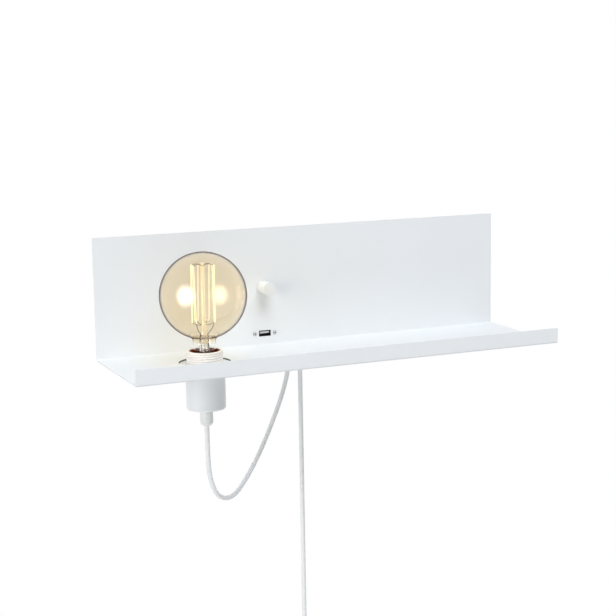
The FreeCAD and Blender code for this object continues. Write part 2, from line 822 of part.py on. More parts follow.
# ---------------------------------------------------------------- dimmer
# Turned parts stand on the dimmer's axis; their own height is counted from the panel's face.
dimmer = (dimmer_x, -standoff, dimmer_z)
knob_gap = 1
bush_height = 5.5
shaft_end = 15.5
shaft_clearance = 0.05
case_depth = 10
case_radius = 8
keep(revolved_body("dimmer_knob", dimmer, [
    (0, shaft_end),
    (shaft_radius, shaft_end),
    (shaft_radius, bush_height + 0.8),
    (knob_radius - 1.2, bush_height + 0.8),
    (knob_radius - 1.2, knob_gap),
    (knob_radius - 0.2, knob_gap),
    (knob_radius, knob_gap + 0.2),
    (knob_radius, knob_front - 0.7),
    (knob_radius - 0.7, knob_front, 0.7, 1),
    (0, knob_front),
], TOWARDS_ROOM))
keep(revolved_body("dimmer_shaft", dimmer, [
    (0, -case_depth + 1.6),
    (shaft_radius, -case_depth + 1.6),
    (shaft_radius, shaft_end),
    (0, shaft_end),
], TOWARDS_ROOM))
keep(revolved_body("dimmer_bush", dimmer, [
    (shaft_radius + shaft_clearance, bush_height),
    (3.2, bush_height),
    (3.5, bush_height - 0.3),
    (3.5, -steel),
    (case_radius - 0.3, -steel),
    (case_radius - 0.3, -steel - 1),
    (shaft_radius + shaft_clearance, -steel - 1),
], TOWARDS_ROOM))
keep(revolved_body("dimmer_case", dimmer, [
    (shaft_radius + shaft_clearance, -steel - 1),
    (case_radius, -steel - 1),
    (case_radius, -case_depth),
    (0, -case_depth),
    (0, -case_depth + 1.3),
    (shaft_radius + shaft_clearance, -case_depth + 1.3),
], TOWARDS_ROOM))
dimmer_nut = new_body("dimmer_nut", dimmer, TOWARDS_ROOM)
nut_sketch = sketch_on(dimmer_nut, "XY")
outline(nut_sketch, [(5.7 * math.cos(math.radians(60 * turn)),
                      5.7 * math.sin(math.radians(60 * turn))) for turn in range(6)])
circle(nut_sketch, 0, 0, 3.52)
pad(dimmer_nut, nut_sketch, 2)
keep(dimmer_nut)

board_thickness = 1.6
board_front = -standoff + case_depth
board_rear = board_front + board_thickness
dimmer_board = new_body("dimmer_board", (dimmer_x, board_front, dimmer_z))
board_outline = rectangle(sketch_on(dimmer_board, "XZ"), -24.5, -26, 25.5, 24)
pad(dimmer_board, board_outline, board_thickness, backwards=True)
board_holes = sketch_on(dimmer_board, "XZ")
for x, z in ((-21.5, -23), (22.5, -23), (-21.5, 21), (22.5, 21)):
    circle(board_holes, x, z, 1.6)
pocket(dimmer_board, board_holes, board_thickness * 4, symmetric=True)
keep(dimmer_board)

dimmer_triac = new_body("dimmer_triac", (dimmer_x - 15, board_rear, dimmer_z + 12))
tab = sketch_on(dimmer_triac, "XZ")
rectangle(tab, -5, -4.5, 5, 10)
circle(tab, 0, 7, 1.9)
pad(dimmer_triac, tab, 1.3, backwards=True)
pad(dimmer_triac, rectangle(sketch_on(dimmer_triac, "XZ"), -5, -4.5, 5, 4.5), 4.5,
    backwards=True)
keep(dimmer_triac)

choke_tube = 2.8
dimmer_choke = document.addObject("Part::Torus", "dimmer_choke")
dimmer_choke.Label = "dimmer_choke"
dimmer_choke.setExpression("Radius1", "5.6")
dimmer_choke.setExpression("Radius2", str(choke_tube))
dimmer_choke.Placement = FreeCAD.Placement(FreeCAD.Vector(), FreeCAD.Rotation(*TOWARDS_ROOM))
for axis, size in zip("xyz", (dimmer_x + 14, board_rear + choke_tube, dimmer_z + 12)):
    dimmer_choke.setExpression(f".Placement.Base.{axis}", size.text)
keep(dimmer_choke)


def block(label, corner, size, rounding=0):
    """A moulded block by its low corner and its three sizes, with its upright edges rounded."""
    body = new_body(label, corner)
    pad(body, rectangle(sketch_on(body, "XY"), 0, 0, size[0], size[1]), size[2])
    if rounding:
        dress(body, "Fillet", rounding,
              lambda middle, edge: abs(edge.BoundBox.ZLength - as_size(size[2]).number) < 0.01)
    keep(body)
    return body


block("dimmer_capacitor", (dimmer_x - 22, board_rear, dimmer_z - 14), (13, 6, 10), 0.8)
fuse_at = (dimmer_x - 6, board_rear + 2.6, dimmer_z - 20)
keep(revolved_body("dimmer_fuse", fuse_at, [
    (0, 0),
    (2.6, 0),
    (2.6, 5),
    (2.4, 5),
    (2.4, 15),
    (2.6, 15),
    (2.6, 20),
    (0, 20),
], (FreeCAD.Vector(0, 1, 0), 90)))

# ---------------------------------------------------------------- charging port
port = (port_x, -standoff, port_z)
bezel_plate = 2
shell_half_width = 6.6
shell_half_height = 2.9
shell_steel = 0.3
shell_mouth = -0.8
shell_depth = 13.7
port_bezel = new_body("port_bezel", port, TOWARDS_ROOM)
plate = sketch_on(port_bezel, "XY", -steel - bezel_plate)
rectangle(plate, -16.5, -5.5, 16.5, 6)
for side in (-1, 1):
    circle(plate, port_screw_spacing / 2 * side, 0, 1.15)
pad(port_bezel, plate, bezel_plate)
nose = rectangle(sketch_on(port_bezel, "XY", -steel - bezel_plate),
                 -port_cut_width / 2 + 0.15, -port_cut_height / 2 + 0.15,
                 port_cut_width / 2 - 0.15, port_cut_height / 2 - 0.15)
pad(port_bezel, nose, bezel_plate + steel - 0.3)
window = rectangle(sketch_on(port_bezel, "XY"), -shell_half_width - 0.05, -shell_half_height - 0.05,
                   shell_half_width + 0.05, shell_half_height + 0.05)
pocket(port_bezel, window, 6)
keep(port_bezel)

port_shell = new_body("port_shell", port, TOWARDS_ROOM)
skin = sketch_on(port_shell, "XY", shell_mouth)
rectangle(skin, -shell_half_width, -shell_half_height, shell_half_width, shell_half_height)
rectangle(skin, -shell_half_width + shell_steel, -shell_half_height + shell_steel,
          shell_half_width - shell_steel, shell_half_height - shell_steel)
pad(port_shell, skin, shell_depth + shell_mouth, backwards=True)
keep(port_shell)

tongue_low = 0.05
tongue_high = 1.9
port_tongue = new_body("port_tongue", port, TOWARDS_ROOM)
stopper = rectangle(sketch_on(port_tongue, "XY", -shell_depth),
                    -shell_half_width + shell_steel, -shell_half_height + shell_steel,
                    shell_half_width - shell_steel, shell_half_height - shell_steel)
pad(port_tongue, stopper, 3.2)
blade = rectangle(sketch_on(port_tongue, "XY", -shell_depth), -5.55, tongue_low, 5.55, tongue_high)
pad(port_tongue, blade, shell_depth - 1.7)
keep(port_tongue)

port_contacts = new_body("port_contacts", port, TOWARDS_ROOM)
strips = sketch_on(port_contacts, "XY", -shell_depth + 3.2)
for middle in (-3.5, -1, 1, 3.5):
    rectangle(strips, middle - 0.45, tongue_low - 0.2, middle + 0.45, tongue_low)
pad(port_contacts, strips, 7.5)
keep(port_contacts)

port_screws = new_body("port_screws", port, TOWARDS_ROOM)
heads = sketch_on(port_screws, "XY")
shanks = sketch_on(port_screws, "XY")
for side in (-1, 1):
    circle(heads, port_screw_spacing / 2 * side, 0, 2.3)
    circle(shanks, port_screw_spacing / 2 * side, 0, 1.1)
pad(port_screws, heads, 1.2)
pad(port_screws, shanks, 6, backwards=True)
dress(port_screws, "Fillet", 0.8, lambda middle, edge: middle.z > 1.1)
keep(port_screws)

port_board_front = -standoff + shell_depth
block("port_board", (port_x - 24.5, port_board_front, port_z - 6.6), (48, board_thickness, 27))
port_converter = new_body("port_converter", (port_x, port_board_front, port_z + 14))
cans = sketch_on(port_converter, "XZ")
for x in (-1, 9):
    circle(cans, x, 0, 3.15)
rectangle(cans, -22, -7, -9, 5)
pad(port_converter, cans, 10)
keep(port_converter)

# ---------------------------------------------------------------- wiring in the housing
terminal_x = 24
terminal_z = -64
terminal_depth = 13
pole_pitch = 10
terminal_block = block("terminal_block", (terminal_x, panel_back, terminal_z),
                       (14, terminal_depth, pole_pitch * 3))
poles = [terminal_z + pole_pitch * (pole + 0.5) for pole in range(3)]
wells = sketch_on(terminal_block, "XZ", -terminal_depth)
for pole in range(3):
    for x in (3.5, 10.5):
        circle(wells, x, pole_pitch * (pole + 0.5), 2)
pocket(terminal_block, wells, 4.5, backwards=True)
grooves = sketch_on(terminal_block, "XZ", -terminal_depth)
for pole in (1, 2):
    rectangle(grooves, -1, pole_pitch * pole - 0.8, 15, pole_pitch * pole + 0.8)
pocket(terminal_block, grooves, 4, backwards=True)
terminal_screws = new_body("terminal_screws", (terminal_x, panel_back + terminal_depth, terminal_z))
slugs = sketch_on(terminal_screws, "XZ", 2)
for pole in range(3):
    for x in (3.5, 10.5):
        circle(slugs, x, pole_pitch * (pole + 0.5), 1.95)
pad(terminal_screws, slugs, 2.5)
keep(terminal_screws)

clamp_low = -70
clamp_height = 10
clamp_left = lamp_cord_x - 6.5
clamp_right = mains_x + 6.5
clamp_base = new_body("clamp_base", (0, 0, clamp_low))
pad(clamp_base, outline(sketch_on(clamp_base, "XY"), [
    (clamp_left, panel_back),
    (clamp_right, panel_back),
    (clamp_right, cord_wall_gap),
    (mains_x + cord_bore, cord_wall_gap),
    (mains_x - cord_bore, cord_wall_gap, cord_bore, -1),
    (lamp_cord_x + cord_bore, cord_wall_gap),
    (lamp_cord_x - cord_bore, cord_wall_gap, cord_bore, -1),
    (clamp_left, cord_wall_gap),
]), clamp_height)
keep(clamp_base)
clamp_bar = new_body("clamp_bar", (0, 0, clamp_low))
clamp_rear = cord_wall_gap + 3.2
pad(clamp_bar, outline(sketch_on(clamp_bar, "XY"), [
    (clamp_left, clamp_rear),
    (clamp_left, cord_wall_gap),
    (lamp_cord_x - cord_bore, cord_wall_gap),
    (lamp_cord_x + cord_bore, cord_wall_gap, cord_bore, -1),
    (mains_x - cord_bore, cord_wall_gap),
    (mains_x + cord_bore, cord_wall_gap, cord_bore, -1),
    (clamp_right, cord_wall_gap),
    (clamp_right, clamp_rear),
]), clamp_height)
keep(clamp_bar)
clamp_middle = (mains_x + lamp_cord_x) / 2
for clamp_part in (clamp_base, clamp_bar):
    screw_hole = circle(sketch_on(clamp_part, "XZ", 9), clamp_middle, clamp_height / 2, 1.5)
    pocket(clamp_part, screw_hole, 14, backwards=True)
screws("clamp_screw", clamp_rear, [(clamp_middle, clamp_low + clamp_height / 2)],
       2.6, 1.5, 1.45, 9)

# Inside the housing and the holder the cords run straight to where their sheath ends.
sheath_end = -54


def straight_cord(name, low, length):
    stub = document.addObject("Part::Cylinder", name)
    stub.setExpression("Radius", cord_bore.text)
    stub.setExpression("Height", length.text)
    for axis, size in zip("xyz", low):
        stub.setExpression(f".Placement.Base.{axis}", size.text)
    return stub


inner_cord_ends = document.addObject("Part::Compound", "inner_cord_ends")
inner_cord_ends.Label = "inner_cord_ends"
inner_cord_ends.Links = [
    straight_cord("mains_stub", (mains_x, cord_wall_gap, bush_end), sheath_end - bush_end),
    straight_cord("lamp_stub", (lamp_cord_x, cord_wall_gap, bush_end), sheath_end - bush_end),
    straight_cord("holder_stub", (holder_x, holder_y, shelf_level + grip_bottom),
                  cord_stub_top - grip_bottom),
]
keep(inner_cord_ends)


def wires(label, routes, diameter=1.8):
    plain_shape(label, Part.makeCompound([round_tube(route, diameter)[0] for route in routes]))


wire_depth = cord_wall_gap.number


def holder_wire(side):
    """One core from the lamp cord's end to its terminal under the contact carrier."""
    start = point(holder_x.number + side, holder_y.number, (shelf_level + cord_stub_top).number)
    end = point(holder_x.number + side * 8.5, holder_y.number,
                (shelf_level + carrier_low - terminal_height).number)
    return [start, start + point(side * 0.5, 0, 3), end - point(side * 0.5, 0, 3.5), end]


wires("live_wires", [
    holder_wire(-1),
    [point(mains_x.number + 1, wire_depth, sheath_end), point(mains_x.number + 1, wire_depth, -47),
     point(8, -18, -47), point(terminal_x, -20, poles[1])],
    [point(lamp_cord_x.number - 1, wire_depth, sheath_end),
     point(lamp_cord_x.number - 1, wire_depth, -44), point(-22, -14.5, -36),
     point(-30, -15.5, -36)],
    [point(terminal_x + 14, -20, poles[1]), point(46, -20, poles[1]), point(48, -18, -36),
     point(36, -14, -14), point(4, -14, -6), point(-27, -15.5, -6)],
])
wires("neutral_wires", [
    holder_wire(1),
    [point(mains_x.number - 1, wire_depth, sheath_end), point(mains_x.number - 1, wire_depth, -42),
     point(8, -18, -38), point(terminal_x, -20, poles[2])],
    [point(lamp_cord_x.number + 1, wire_depth, sheath_end),
     point(lamp_cord_x.number + 1, wire_depth, -40), point(-19, -14.2, -24),
     point(-28, -15.5, -20)],
])

for label, cord_x in (("mains_bush", mains_x), ("lamp_cord_bush", lamp_cord_x)):
    keep(revolved_body(label, (cord_x, cord_wall_gap, housing_bottom), [
        (cord_bore, bush_end - housing_bottom),
        (3.7, bush_end - housing_bottom),
        (4.7, -3.4),
        (5.6, -2.4),
        (6, -1.8),
        (6, 0),
        (4.9, 0),
        (4.9, housing_wall),
        (5.6, housing_wall),
        (5.3, housing_wall + 1.8),
        (cord_bore, housing_wall + 1.8),
    ]))

# ---------------------------------------------------------------- cords
# The lamp cord hangs in a slack loop from the cord grip to its bush under the housing.
exit_z = (shelf_level + grip_bottom).number
lamp_cord_route = [
    point(holder_x.number, holder_y.number, exit_z),
    point(holder_x.number, holder_y.number, -186),
    point(-149.5, -104.2, -216),
    point(-138, -96.5, -243),
    point(-115, -81, -252),
    point(-92, -65.5, -234),
    point(-69, -50, -207),
    point(-46, -34.5, -176),
    point(-27, -21.5, -146),
    point(-16.5, -14.6, -120),
    point(lamp_cord_x.number, wire_depth, bush_end.number),
]
diameter = cord_diameter.number
section = math.pi * diameter ** 2 / 4


def report(name, shape, length, radii):
    print(f"{name}: length {length:.1f}, volume over section times length "
          f"{shape.Volume / (section * length):.4f}, radii",
          " ".join(f"{radius:.0f}" for radius in radii))


lamp_cord, lamp_cord_length, lamp_cord_radii = round_tube(lamp_cord_route, diameter)
report("lamp_cord", lamp_cord, lamp_cord_length, lamp_cord_radii)
plain_shape("lamp_cord", lamp_cord)

# The mains cord hangs straight, then bends over on to a tied coil of the length left over.
entry = math.radians(coil_entry.number)
bend = bend_to_coil.number
tangent = bend * math.tan(entry / 2)
last_run = tangent / 0.45
corner = point(mains_x.number, wire_depth, mains_straight_end.number - tangent)
towards_coil = point(math.sin(entry), 0, -math.cos(entry))
mains_end = corner + towards_coil * last_run
mains_route = [point(mains_x.number, wire_depth, bush_end.number), corner, mains_end]
mains_cord, mains_length, mains_radii = round_tube(mains_route, diameter)
report("mains_cord", mains_cord, mains_length, mains_radii)
plain_shape("mains_cord", mains_cord)

first_turn = mains_end + towards_coil * diameter
outer = coil_outer.number
pitch = coil_pitch.number
coil_centre = first_turn - point(math.cos(entry), 0, math.sin(entry)) * outer
total_turn = 2 * math.pi * coil_turns.number + entry
layers = int(coil_layers.number)
layer_turn = total_turn / layers


def coil_place(turned):
    """The cord's centre after turning clockwise by an angle from the coil's start."""
    layer = min(int(turned / layer_turn), layers - 1)
    into = turned / layer_turn - layer
    inward = into if layer % 2 == 0 else 1 - into
    radius = outer - pitch * layer_turn / (2 * math.pi) * inward
    depth = 0.0
    for reversal in range(1, layers):
        climb = (turned - reversal * layer_turn) / math.pi + 0.5
        climb = min(max(climb, 0.0), 1.0)
        depth += pitch * (climb - math.sin(2 * math.pi * climb) / (2 * math.pi))
    angle = entry - turned
    return coil_centre + point(radius * math.cos(angle), -depth, radius * math.sin(angle))


def coil_heading(turned):
    """The way the cord runs there; both ends run square to their radius."""
    if turned <= 0 or turned >= total_turn:
        angle = entry - turned
        return point(math.sin(angle), 0, -math.cos(angle))
    step = 0.02
    ahead = coil_place(min(turned + step, total_turn))
    return (ahead - coil_place(max(turned - step, 0))).normalize()


def arc_edge(start, heading, end):
    """The arc that leaves start along a heading and ends at a point."""
    chord = end - start
    along = point(*chord).normalize()
    across = heading - along * heading.dot(along)
    if across.Length < 1e-6:
        return Part.LineSegment(start, end).toShape()
    bulge = chord.Length / 2 * math.tan(heading.getAngle(along) / 2)
    return Part.Arc(start, (start + end) / 2 + across.normalize() * bulge, end).toShape()


def biarc(start, heading, end, end_heading):
    """Two arcs that meet smoothly between two points with given headings."""
    chord = end - start
    total = heading + end_heading
    spread = 2 * (1 - heading.dot(end_heading))
    along = chord.dot(total)
    if spread < 1e-9:
        reach = chord.dot(chord) / (4 * chord.dot(end_heading))
    else:
        reach = (math.sqrt(along ** 2 + spread * chord.dot(chord)) - along) / spread
    joint = (start + end + (heading - end_heading) * reach) / 2
    first = arc_edge(start, heading, joint)
    back = arc_edge(end, end_heading * -1, joint)
    middle = back.valueAt((back.FirstParameter + back.LastParameter) / 2)
    if back.Curve.TypeId == "Part::GeomLine":
        return [first, Part.LineSegment(joint, end).toShape()]
    return [first, Part.Arc(joint, middle, end).toShape()]


steps = 4 * int(coil_turns.number) + 1
coil_edges = [Part.LineSegment(mains_end, coil_place(0)).toShape()]
for step in range(steps):
    here = total_turn * step / steps
    there = total_turn * (step + 1) / steps
    coil_edges += biarc(coil_place(here), coil_heading(here),
                        coil_place(there), coil_heading(there))
coil_last = coil_place(total_turn)
coil_end = coil_last + point(0, 0, -diameter)
coil_edges.append(Part.LineSegment(coil_last, coil_end).toShape())
coil_path = Part.Wire(coil_edges)
coil = tube(coil_path, towards_coil, diameter / 2)
report("mains_cord_coil", coil, coil_path.Length, [])
plain_shape("mains_cord_coil", coil)


def least_gap(path, spacing, skip):
    """The least distance between stretches of a tube that lie apart along its path."""
    places = path.discretize(Distance=spacing)
    apart = int(skip / spacing)
    least = 1e9
    for index, place in enumerate(places):
        for other in places[index + apart:]:
            least = min(least, place.distanceToPoint(other))
    return least - diameter


print(f"mains_cord_coil: least gap to itself {least_gap(coil_path, 3.0, 60.0):.2f}")

tail_end = coil_end + point(0, 0, -tail_length.number)
mains_tail = Part.makeCylinder(diameter / 2, tail_length.number, tail_end)
plain_shape("mains_cord_tail", mains_tail)
print(f"mains cord in all: {mains_length + coil_path.Length + tail_length.number:.0f}")

# A hook-and-loop tie holds the coil's turns together beside the place where the cord joins it.
tie_angle = 100
tie_width = 7
tie_thickness = 0.9
tie_room = 0.25
turns_inner = outer - pitch * layer_turn / (2 * math.pi) - diameter / 2 - tie_room
turns_outer = outer + diameter / 2 + tie_room
turns_rear = diameter / 2 + tie_room
turns_front = -pitch * (layers - 1) - diameter / 2 - tie_room
cord_tie = new_body("cord_tie", (coil_centre.x, coil_centre.y, coil_centre.z),
                    (FreeCAD.Vector(0, 1, 0), -tie_angle))
band = sketch_on(cord_tie, "XY")
rectangle(band, turns_inner - tie_thickness, turns_front - tie_thickness,
          turns_outer + tie_thickness, turns_rear + tie_thickness)
rectangle(band, turns_inner, turns_front, turns_outer, turns_rear)
pad(cord_tie, band, tie_width, symmetric=True)
dress(cord_tie, "Fillet", 2, lambda middle, edge: abs(edge.Length - tie_width) < 0.01)
keep(cord_tie)

# Flat two-pin plug: it hangs from the coil's tail with its pins down.
relief_length = 20
plug_top = (tail_end.x, tail_end.y, tail_end.z - relief_length)
relief_profile = [(0, relief_length), (cord_bore + 0.6, relief_length)]
ribs = 4
rib_step = (relief_length - 4) / ribs
for rib in range(ribs):
    low = relief_length - 1.5 - rib * rib_step
    wide = 3.6 + 0.35 * rib
    relief_profile += [(wide, low), (wide, low - rib_step + 1.2),
                       (wide - 0.7, low - rib_step + 1.2), (wide - 0.7, low - rib_step)]
relief_profile += [(4.6, 0), (0, 0)]
keep(revolved_body("plug_strain_relief", plug_top, relief_profile))
plug_thickness = 13.7
plug_length = 36
plug_body = new_body("plug_body", plug_top)
pad(plug_body, outline(sketch_on(plug_body, "XZ"), [
    (-6, 0),
    (-17.6, -15),
    (-17.6, -30),
    (-13.5, -plug_length),
    (13.5, -plug_length),
    (17.6, -30),
    (17.6, -15),
    (6, 0),
]), plug_thickness, symmetric=True)
dress(plug_body, "Fillet", 3.2, lambda middle, edge: edge.BoundBox.YLength > 10)
dress(plug_body, "Fillet", 1.8, lambda middle, edge: edge.BoundBox.YLength < 0.1
      and abs(middle.z + plug_length) > 0.5)
keep(plug_body)
pin_spacing = 18.6
pin_length = 19
plug_pins = new_body("plug_pins", plug_top)
for side in (-1, 1):
    pin_foot = circle(sketch_on(plug_pins, "XY", -plug_length), pin_spacing / 2 * side, 0, 2)
    pad(plug_pins, pin_foot, pin_length, backwards=True)
dress(plug_pins, "Fillet", 0.9,
      lambda middle, edge: middle.z < -plug_length - pin_length + 0.1)
keep(plug_pins)

# ---------------------------------------------------------------- checks and export
document.recompute()
for item in document.Objects:
    if "Invalid" in item.State or "Error" in item.State:
        raise RuntimeError(f"{item.Name} failed: {item.State}")
os.makedirs("parts", exist_ok=True)
for piece in pieces:
    shape = piece.Shape
    if shape.isNull() or not shape.isValid() or shape.Volume <= 0:
        raise RuntimeError(f"{piece.Label} has no sound solid")
for piece in pieces:
    piece.Shape.exportStep(f"parts/{piece.Label}.step")
print(f"{len(pieces)} pieces written")
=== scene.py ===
import math

import bmesh
import bpy
from mathutils import Matrix, Vector


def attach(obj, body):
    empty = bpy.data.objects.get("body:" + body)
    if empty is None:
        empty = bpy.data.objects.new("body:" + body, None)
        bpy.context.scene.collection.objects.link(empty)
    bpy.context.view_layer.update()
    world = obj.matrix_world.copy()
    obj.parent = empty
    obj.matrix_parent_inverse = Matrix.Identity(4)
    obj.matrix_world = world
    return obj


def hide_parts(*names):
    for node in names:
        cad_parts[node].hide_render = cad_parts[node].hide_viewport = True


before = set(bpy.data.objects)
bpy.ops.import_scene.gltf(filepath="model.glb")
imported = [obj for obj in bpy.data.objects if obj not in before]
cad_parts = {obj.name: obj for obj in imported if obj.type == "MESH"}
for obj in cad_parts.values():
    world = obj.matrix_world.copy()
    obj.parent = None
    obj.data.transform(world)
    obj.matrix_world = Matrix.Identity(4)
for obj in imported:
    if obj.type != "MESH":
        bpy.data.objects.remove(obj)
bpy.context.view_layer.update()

# ---------------------------------------------------------------- camera
# It stands left of the lamp and a little above it, turned to the right and tipped down, as the
# photograph was taken. The lamp hangs on a wall at y = 0 and comes out towards the camera.
yaw, pitch, roll = 0.40823, 0.16336, -0.01700
camera_x, camera_y, camera_z = -0.65286, -1.54707, 0.22545
ahead = Vector((math.sin(yaw) * math.cos(pitch), math.cos(yaw) * math.cos(pitch),
                -math.sin(pitch)))
level = Vector((math.cos(yaw), -math.sin(yaw), 0))
raised = level.cross(ahead)
right = level * math.cos(roll) + raised * math.sin(roll)
up = raised * math.cos(roll) - level * math.sin(roll)
camera = bpy.data.objects.new("camera", bpy.data.cameras.new("camera"))
camera.data.lens = 84.07
camera.data.sensor_width = 36
camera.matrix_world = Matrix((
    (right.x, up.x, -ahead.x, camera_x),
    (right.y, up.y, -ahead.y, camera_y),
    (right.z, up.z, -ahead.z, camera_z),
    (0, 0, 0, 1)))
bpy.context.scene.collection.objects.link(camera)
bpy.context.scene.camera = camera

# ---------------------------------------------------------------- studio
# A plain pale floor well below the lamp, clear from underneath, and a white surround. The soft
# lamps are a round one far to the left at the lamp's own height, which the globe mirrors, a
# square one above and in front, and one behind for the side that hangs against the wall.
bpy.context.scene.view_settings.view_transform = "Standard"


def linear(red, green, blue):
    """A colour of 0 to 255 as the shader sockets want it."""
    return tuple((part / 255 / 12.92 if part < 10.3 else ((part / 255 + 0.055) / 1.055) ** 2.4)
                 for part in (red, green, blue)) + (1.0,)


def set_sockets(tree, node, sockets):
    """Gives a node's inputs their values, or joins them to the outputs that feed them."""
    for socket, value in sockets.items():
        if isinstance(value, bpy.types.NodeSocket):
            tree.links.new(value, node.inputs[socket])
        else:
            node.inputs[socket].default_value = value
    return node


def add_node(tree, kind, sockets=None, **settings):
    """A new node in a tree, with its settings and with what its inputs hold or are fed by."""
    node = tree.nodes.new(kind)
    for setting, value in settings.items():
        setattr(node, setting, value)
    return set_sockets(tree, node, sockets or {})


surround = bpy.data.worlds.new("surround")
bpy.context.scene.world = surround
surround.use_nodes = True
sky = surround.node_tree
sky.nodes.clear()
rays = add_node(sky, "ShaderNodeLightPath")
seen = add_node(sky, "ShaderNodeMath", {
    0: rays.outputs["Is Camera Ray"], 1: rays.outputs["Is Glossy Ray"]}, operation="MAXIMUM")
seen_through = add_node(sky, "ShaderNodeMath", {
    0: seen.outputs[0], 1: rays.outputs["Is Transmission Ray"]}, operation="MAXIMUM")
fill_light = add_node(sky, "ShaderNodeBackground", {
    "Color": (1.0, 0.985, 0.965, 1), "Strength": 0.325})
white_light = add_node(sky, "ShaderNodeBackground", {"Color": (1, 1, 1, 1), "Strength": 1.0})
either = add_node(sky, "ShaderNodeMixShader", {
    "Fac": seen_through.outputs[0], 1: fill_light.outputs[0], 2: white_light.outputs[0]})
add_node(sky, "ShaderNodeOutputWorld", {"Surface": either.outputs[0]})

floor_side, floor_front, floor_back, floor_height = 1.5, -1.7, 0.2, -0.72
floor_mesh = bpy.data.meshes.new("floor")
floor_mesh.from_pydata([(-floor_side, floor_front, floor_height),
                        (floor_side, floor_front, floor_height),
                        (floor_side, floor_back, floor_height),
                        (-floor_side, floor_back, floor_height)], [], [(0, 1, 2, 3)])
floor = bpy.data.objects.new("floor", floor_mesh)
bpy.context.scene.collection.objects.link(floor)
floor_paint = bpy.data.materials.new("pale_floor")
floor_paint.use_nodes = True
paint = floor_paint.node_tree
paint_shader = set_sockets(paint, paint.nodes["Principled BSDF"], {
    "Base Color": linear(240, 240, 240), "Roughness": 0.9})
one_sided = add_node(paint, "ShaderNodeMixShader", {
    "Fac": add_node(paint, "ShaderNodeNewGeometry").outputs["Backfacing"],
    1: paint_shader.outputs[0],
    2: add_node(paint, "ShaderNodeBsdfTransparent").outputs[0]})
set_sockets(paint, paint.nodes["Material Output"], {"Surface": one_sided.outputs[0]})
floor_mesh.materials.append(floor_paint)


def soft_lamp(name, place, aim, shape, size, power, tint, in_gloss):
    """An area lamp; one that shows in gloss and glass fades from its middle to its edge."""
    lamp = bpy.data.objects.new(name, bpy.data.lights.new(name, "AREA"))
    lamp.data.shape = shape
    lamp.data.size = size
    lamp.data.energy = power
    lamp.data.color = tint
    lamp.visible_glossy = lamp.visible_transmission = in_gloss
    lamp.location = place
    lamp.rotation_mode = "QUATERNION"
    lamp.rotation_quaternion = (Vector(aim) - Vector(place)).to_track_quat("-Z", "Y")
    bpy.context.scene.collection.objects.link(lamp)
    if in_gloss:
        lamp.data.use_nodes = True
        face = lamp.data.node_tree
        from_middle = add_node(face, "ShaderNodeVectorMath", {
            0: add_node(face, "ShaderNodeNewGeometry").outputs["Parametric"],
            1: (0.5, 0.5, 0)}, operation="DISTANCE")
        fading = add_node(face, "ShaderNodeMapRange", {
            "Value": from_middle.outputs["Value"], "From Min": 0.12, "From Max": 0.5,
            "To Min": 1, "To Max": 0}, interpolation_type="SMOOTHSTEP")
        set_sockets(face, face.nodes["Emission"], {"Strength": fading.outputs[0]})
    return lamp


soft_lamp("side_softbox", (-3.71, -1.70, 0.37), (-0.05, -0.08, -0.05), "DISK",
          size=3.6, power=160, tint=(1.0, 1.0, 1.0), in_gloss=True)
soft_lamp("top_softbox", (0.10, -1.90, 3.20), (0.02, -0.05, -0.1), "SQUARE",
          size=2.6, power=106, tint=(0.90, 0.955, 1.0), in_gloss=False)
soft_lamp("rear_softbox", (-0.9, 3.4, 0.9), (0.0, 0.0, -0.1), "SQUARE",
          size=2.6, power=60, tint=(0.95, 0.975, 1.0), in_gloss=False)

# ---------------------------------------------------------------- cords
# Round white two-core cords, 5.4 mm across. One hangs in a slack loop from the lampholder to
# the housing. The other hangs straight down and ends in a tied coil and the plug.
cord_radius = 0.0027


def surface(name, colour, roughness, grain, shade, relief, metal=0.0, gloss_change=0.06,
            stretch=(1, 1, 1), broad=0.04):
    """A finish whose colour, gloss and relief vary at the real grain's size, and broadly."""
    made = bpy.data.materials.new(name)
    made.use_nodes = True
    tree = made.node_tree
    where = add_node(tree, "ShaderNodeTexCoord").outputs["Object"]
    drawn_out = add_node(tree, "ShaderNodeMapping", {"Vector": where, "Scale": stretch})
    fine = add_node(tree, "ShaderNodeTexNoise", {
        "Vector": drawn_out.outputs[0], "Scale": 1 / grain, "Detail": 4}).outputs[0]
    wide = add_node(tree, "ShaderNodeTexNoise", {
        "Vector": where, "Scale": 1 / broad, "Detail": 2}).outputs[0]
    both = add_node(tree, "ShaderNodeMath", {0: fine, 1: wide}, operation="ADD")
    spread = add_node(tree, "ShaderNodeMapRange", {
        "Value": both.outputs[0], "From Min": 0.7, "From Max": 1.3})
    tone = add_node(tree, "ShaderNodeMix", {
        "Factor": spread.outputs[0],
        "A": tuple(part * (1 - shade) for part in colour[:3]) + (1,),
        "B": tuple(min(part * (1 + shade), 1) for part in colour[:3]) + (1,)}, data_type="RGBA")
    gloss = add_node(tree, "ShaderNodeMapRange", {
        "Value": fine, "To Min": max(roughness - gloss_change, 0.02),
        "To Max": min(roughness + gloss_change, 1)})
    bump = add_node(tree, "ShaderNodeBump", {"Height": fine, "Strength": 1, "Distance": relief})
    set_sockets(tree, tree.nodes["Principled BSDF"], {
        "Base Color": tone.outputs["Result"], "Roughness": gloss.outputs[0],
        "Normal": bump.outputs[0], "Metallic": metal})
    return made


cord_sheath = surface("smooth_cord_sheath", linear(240, 241, 242), roughness=0.34, grain=0.012,
                      shade=0.015, relief=0.000004)


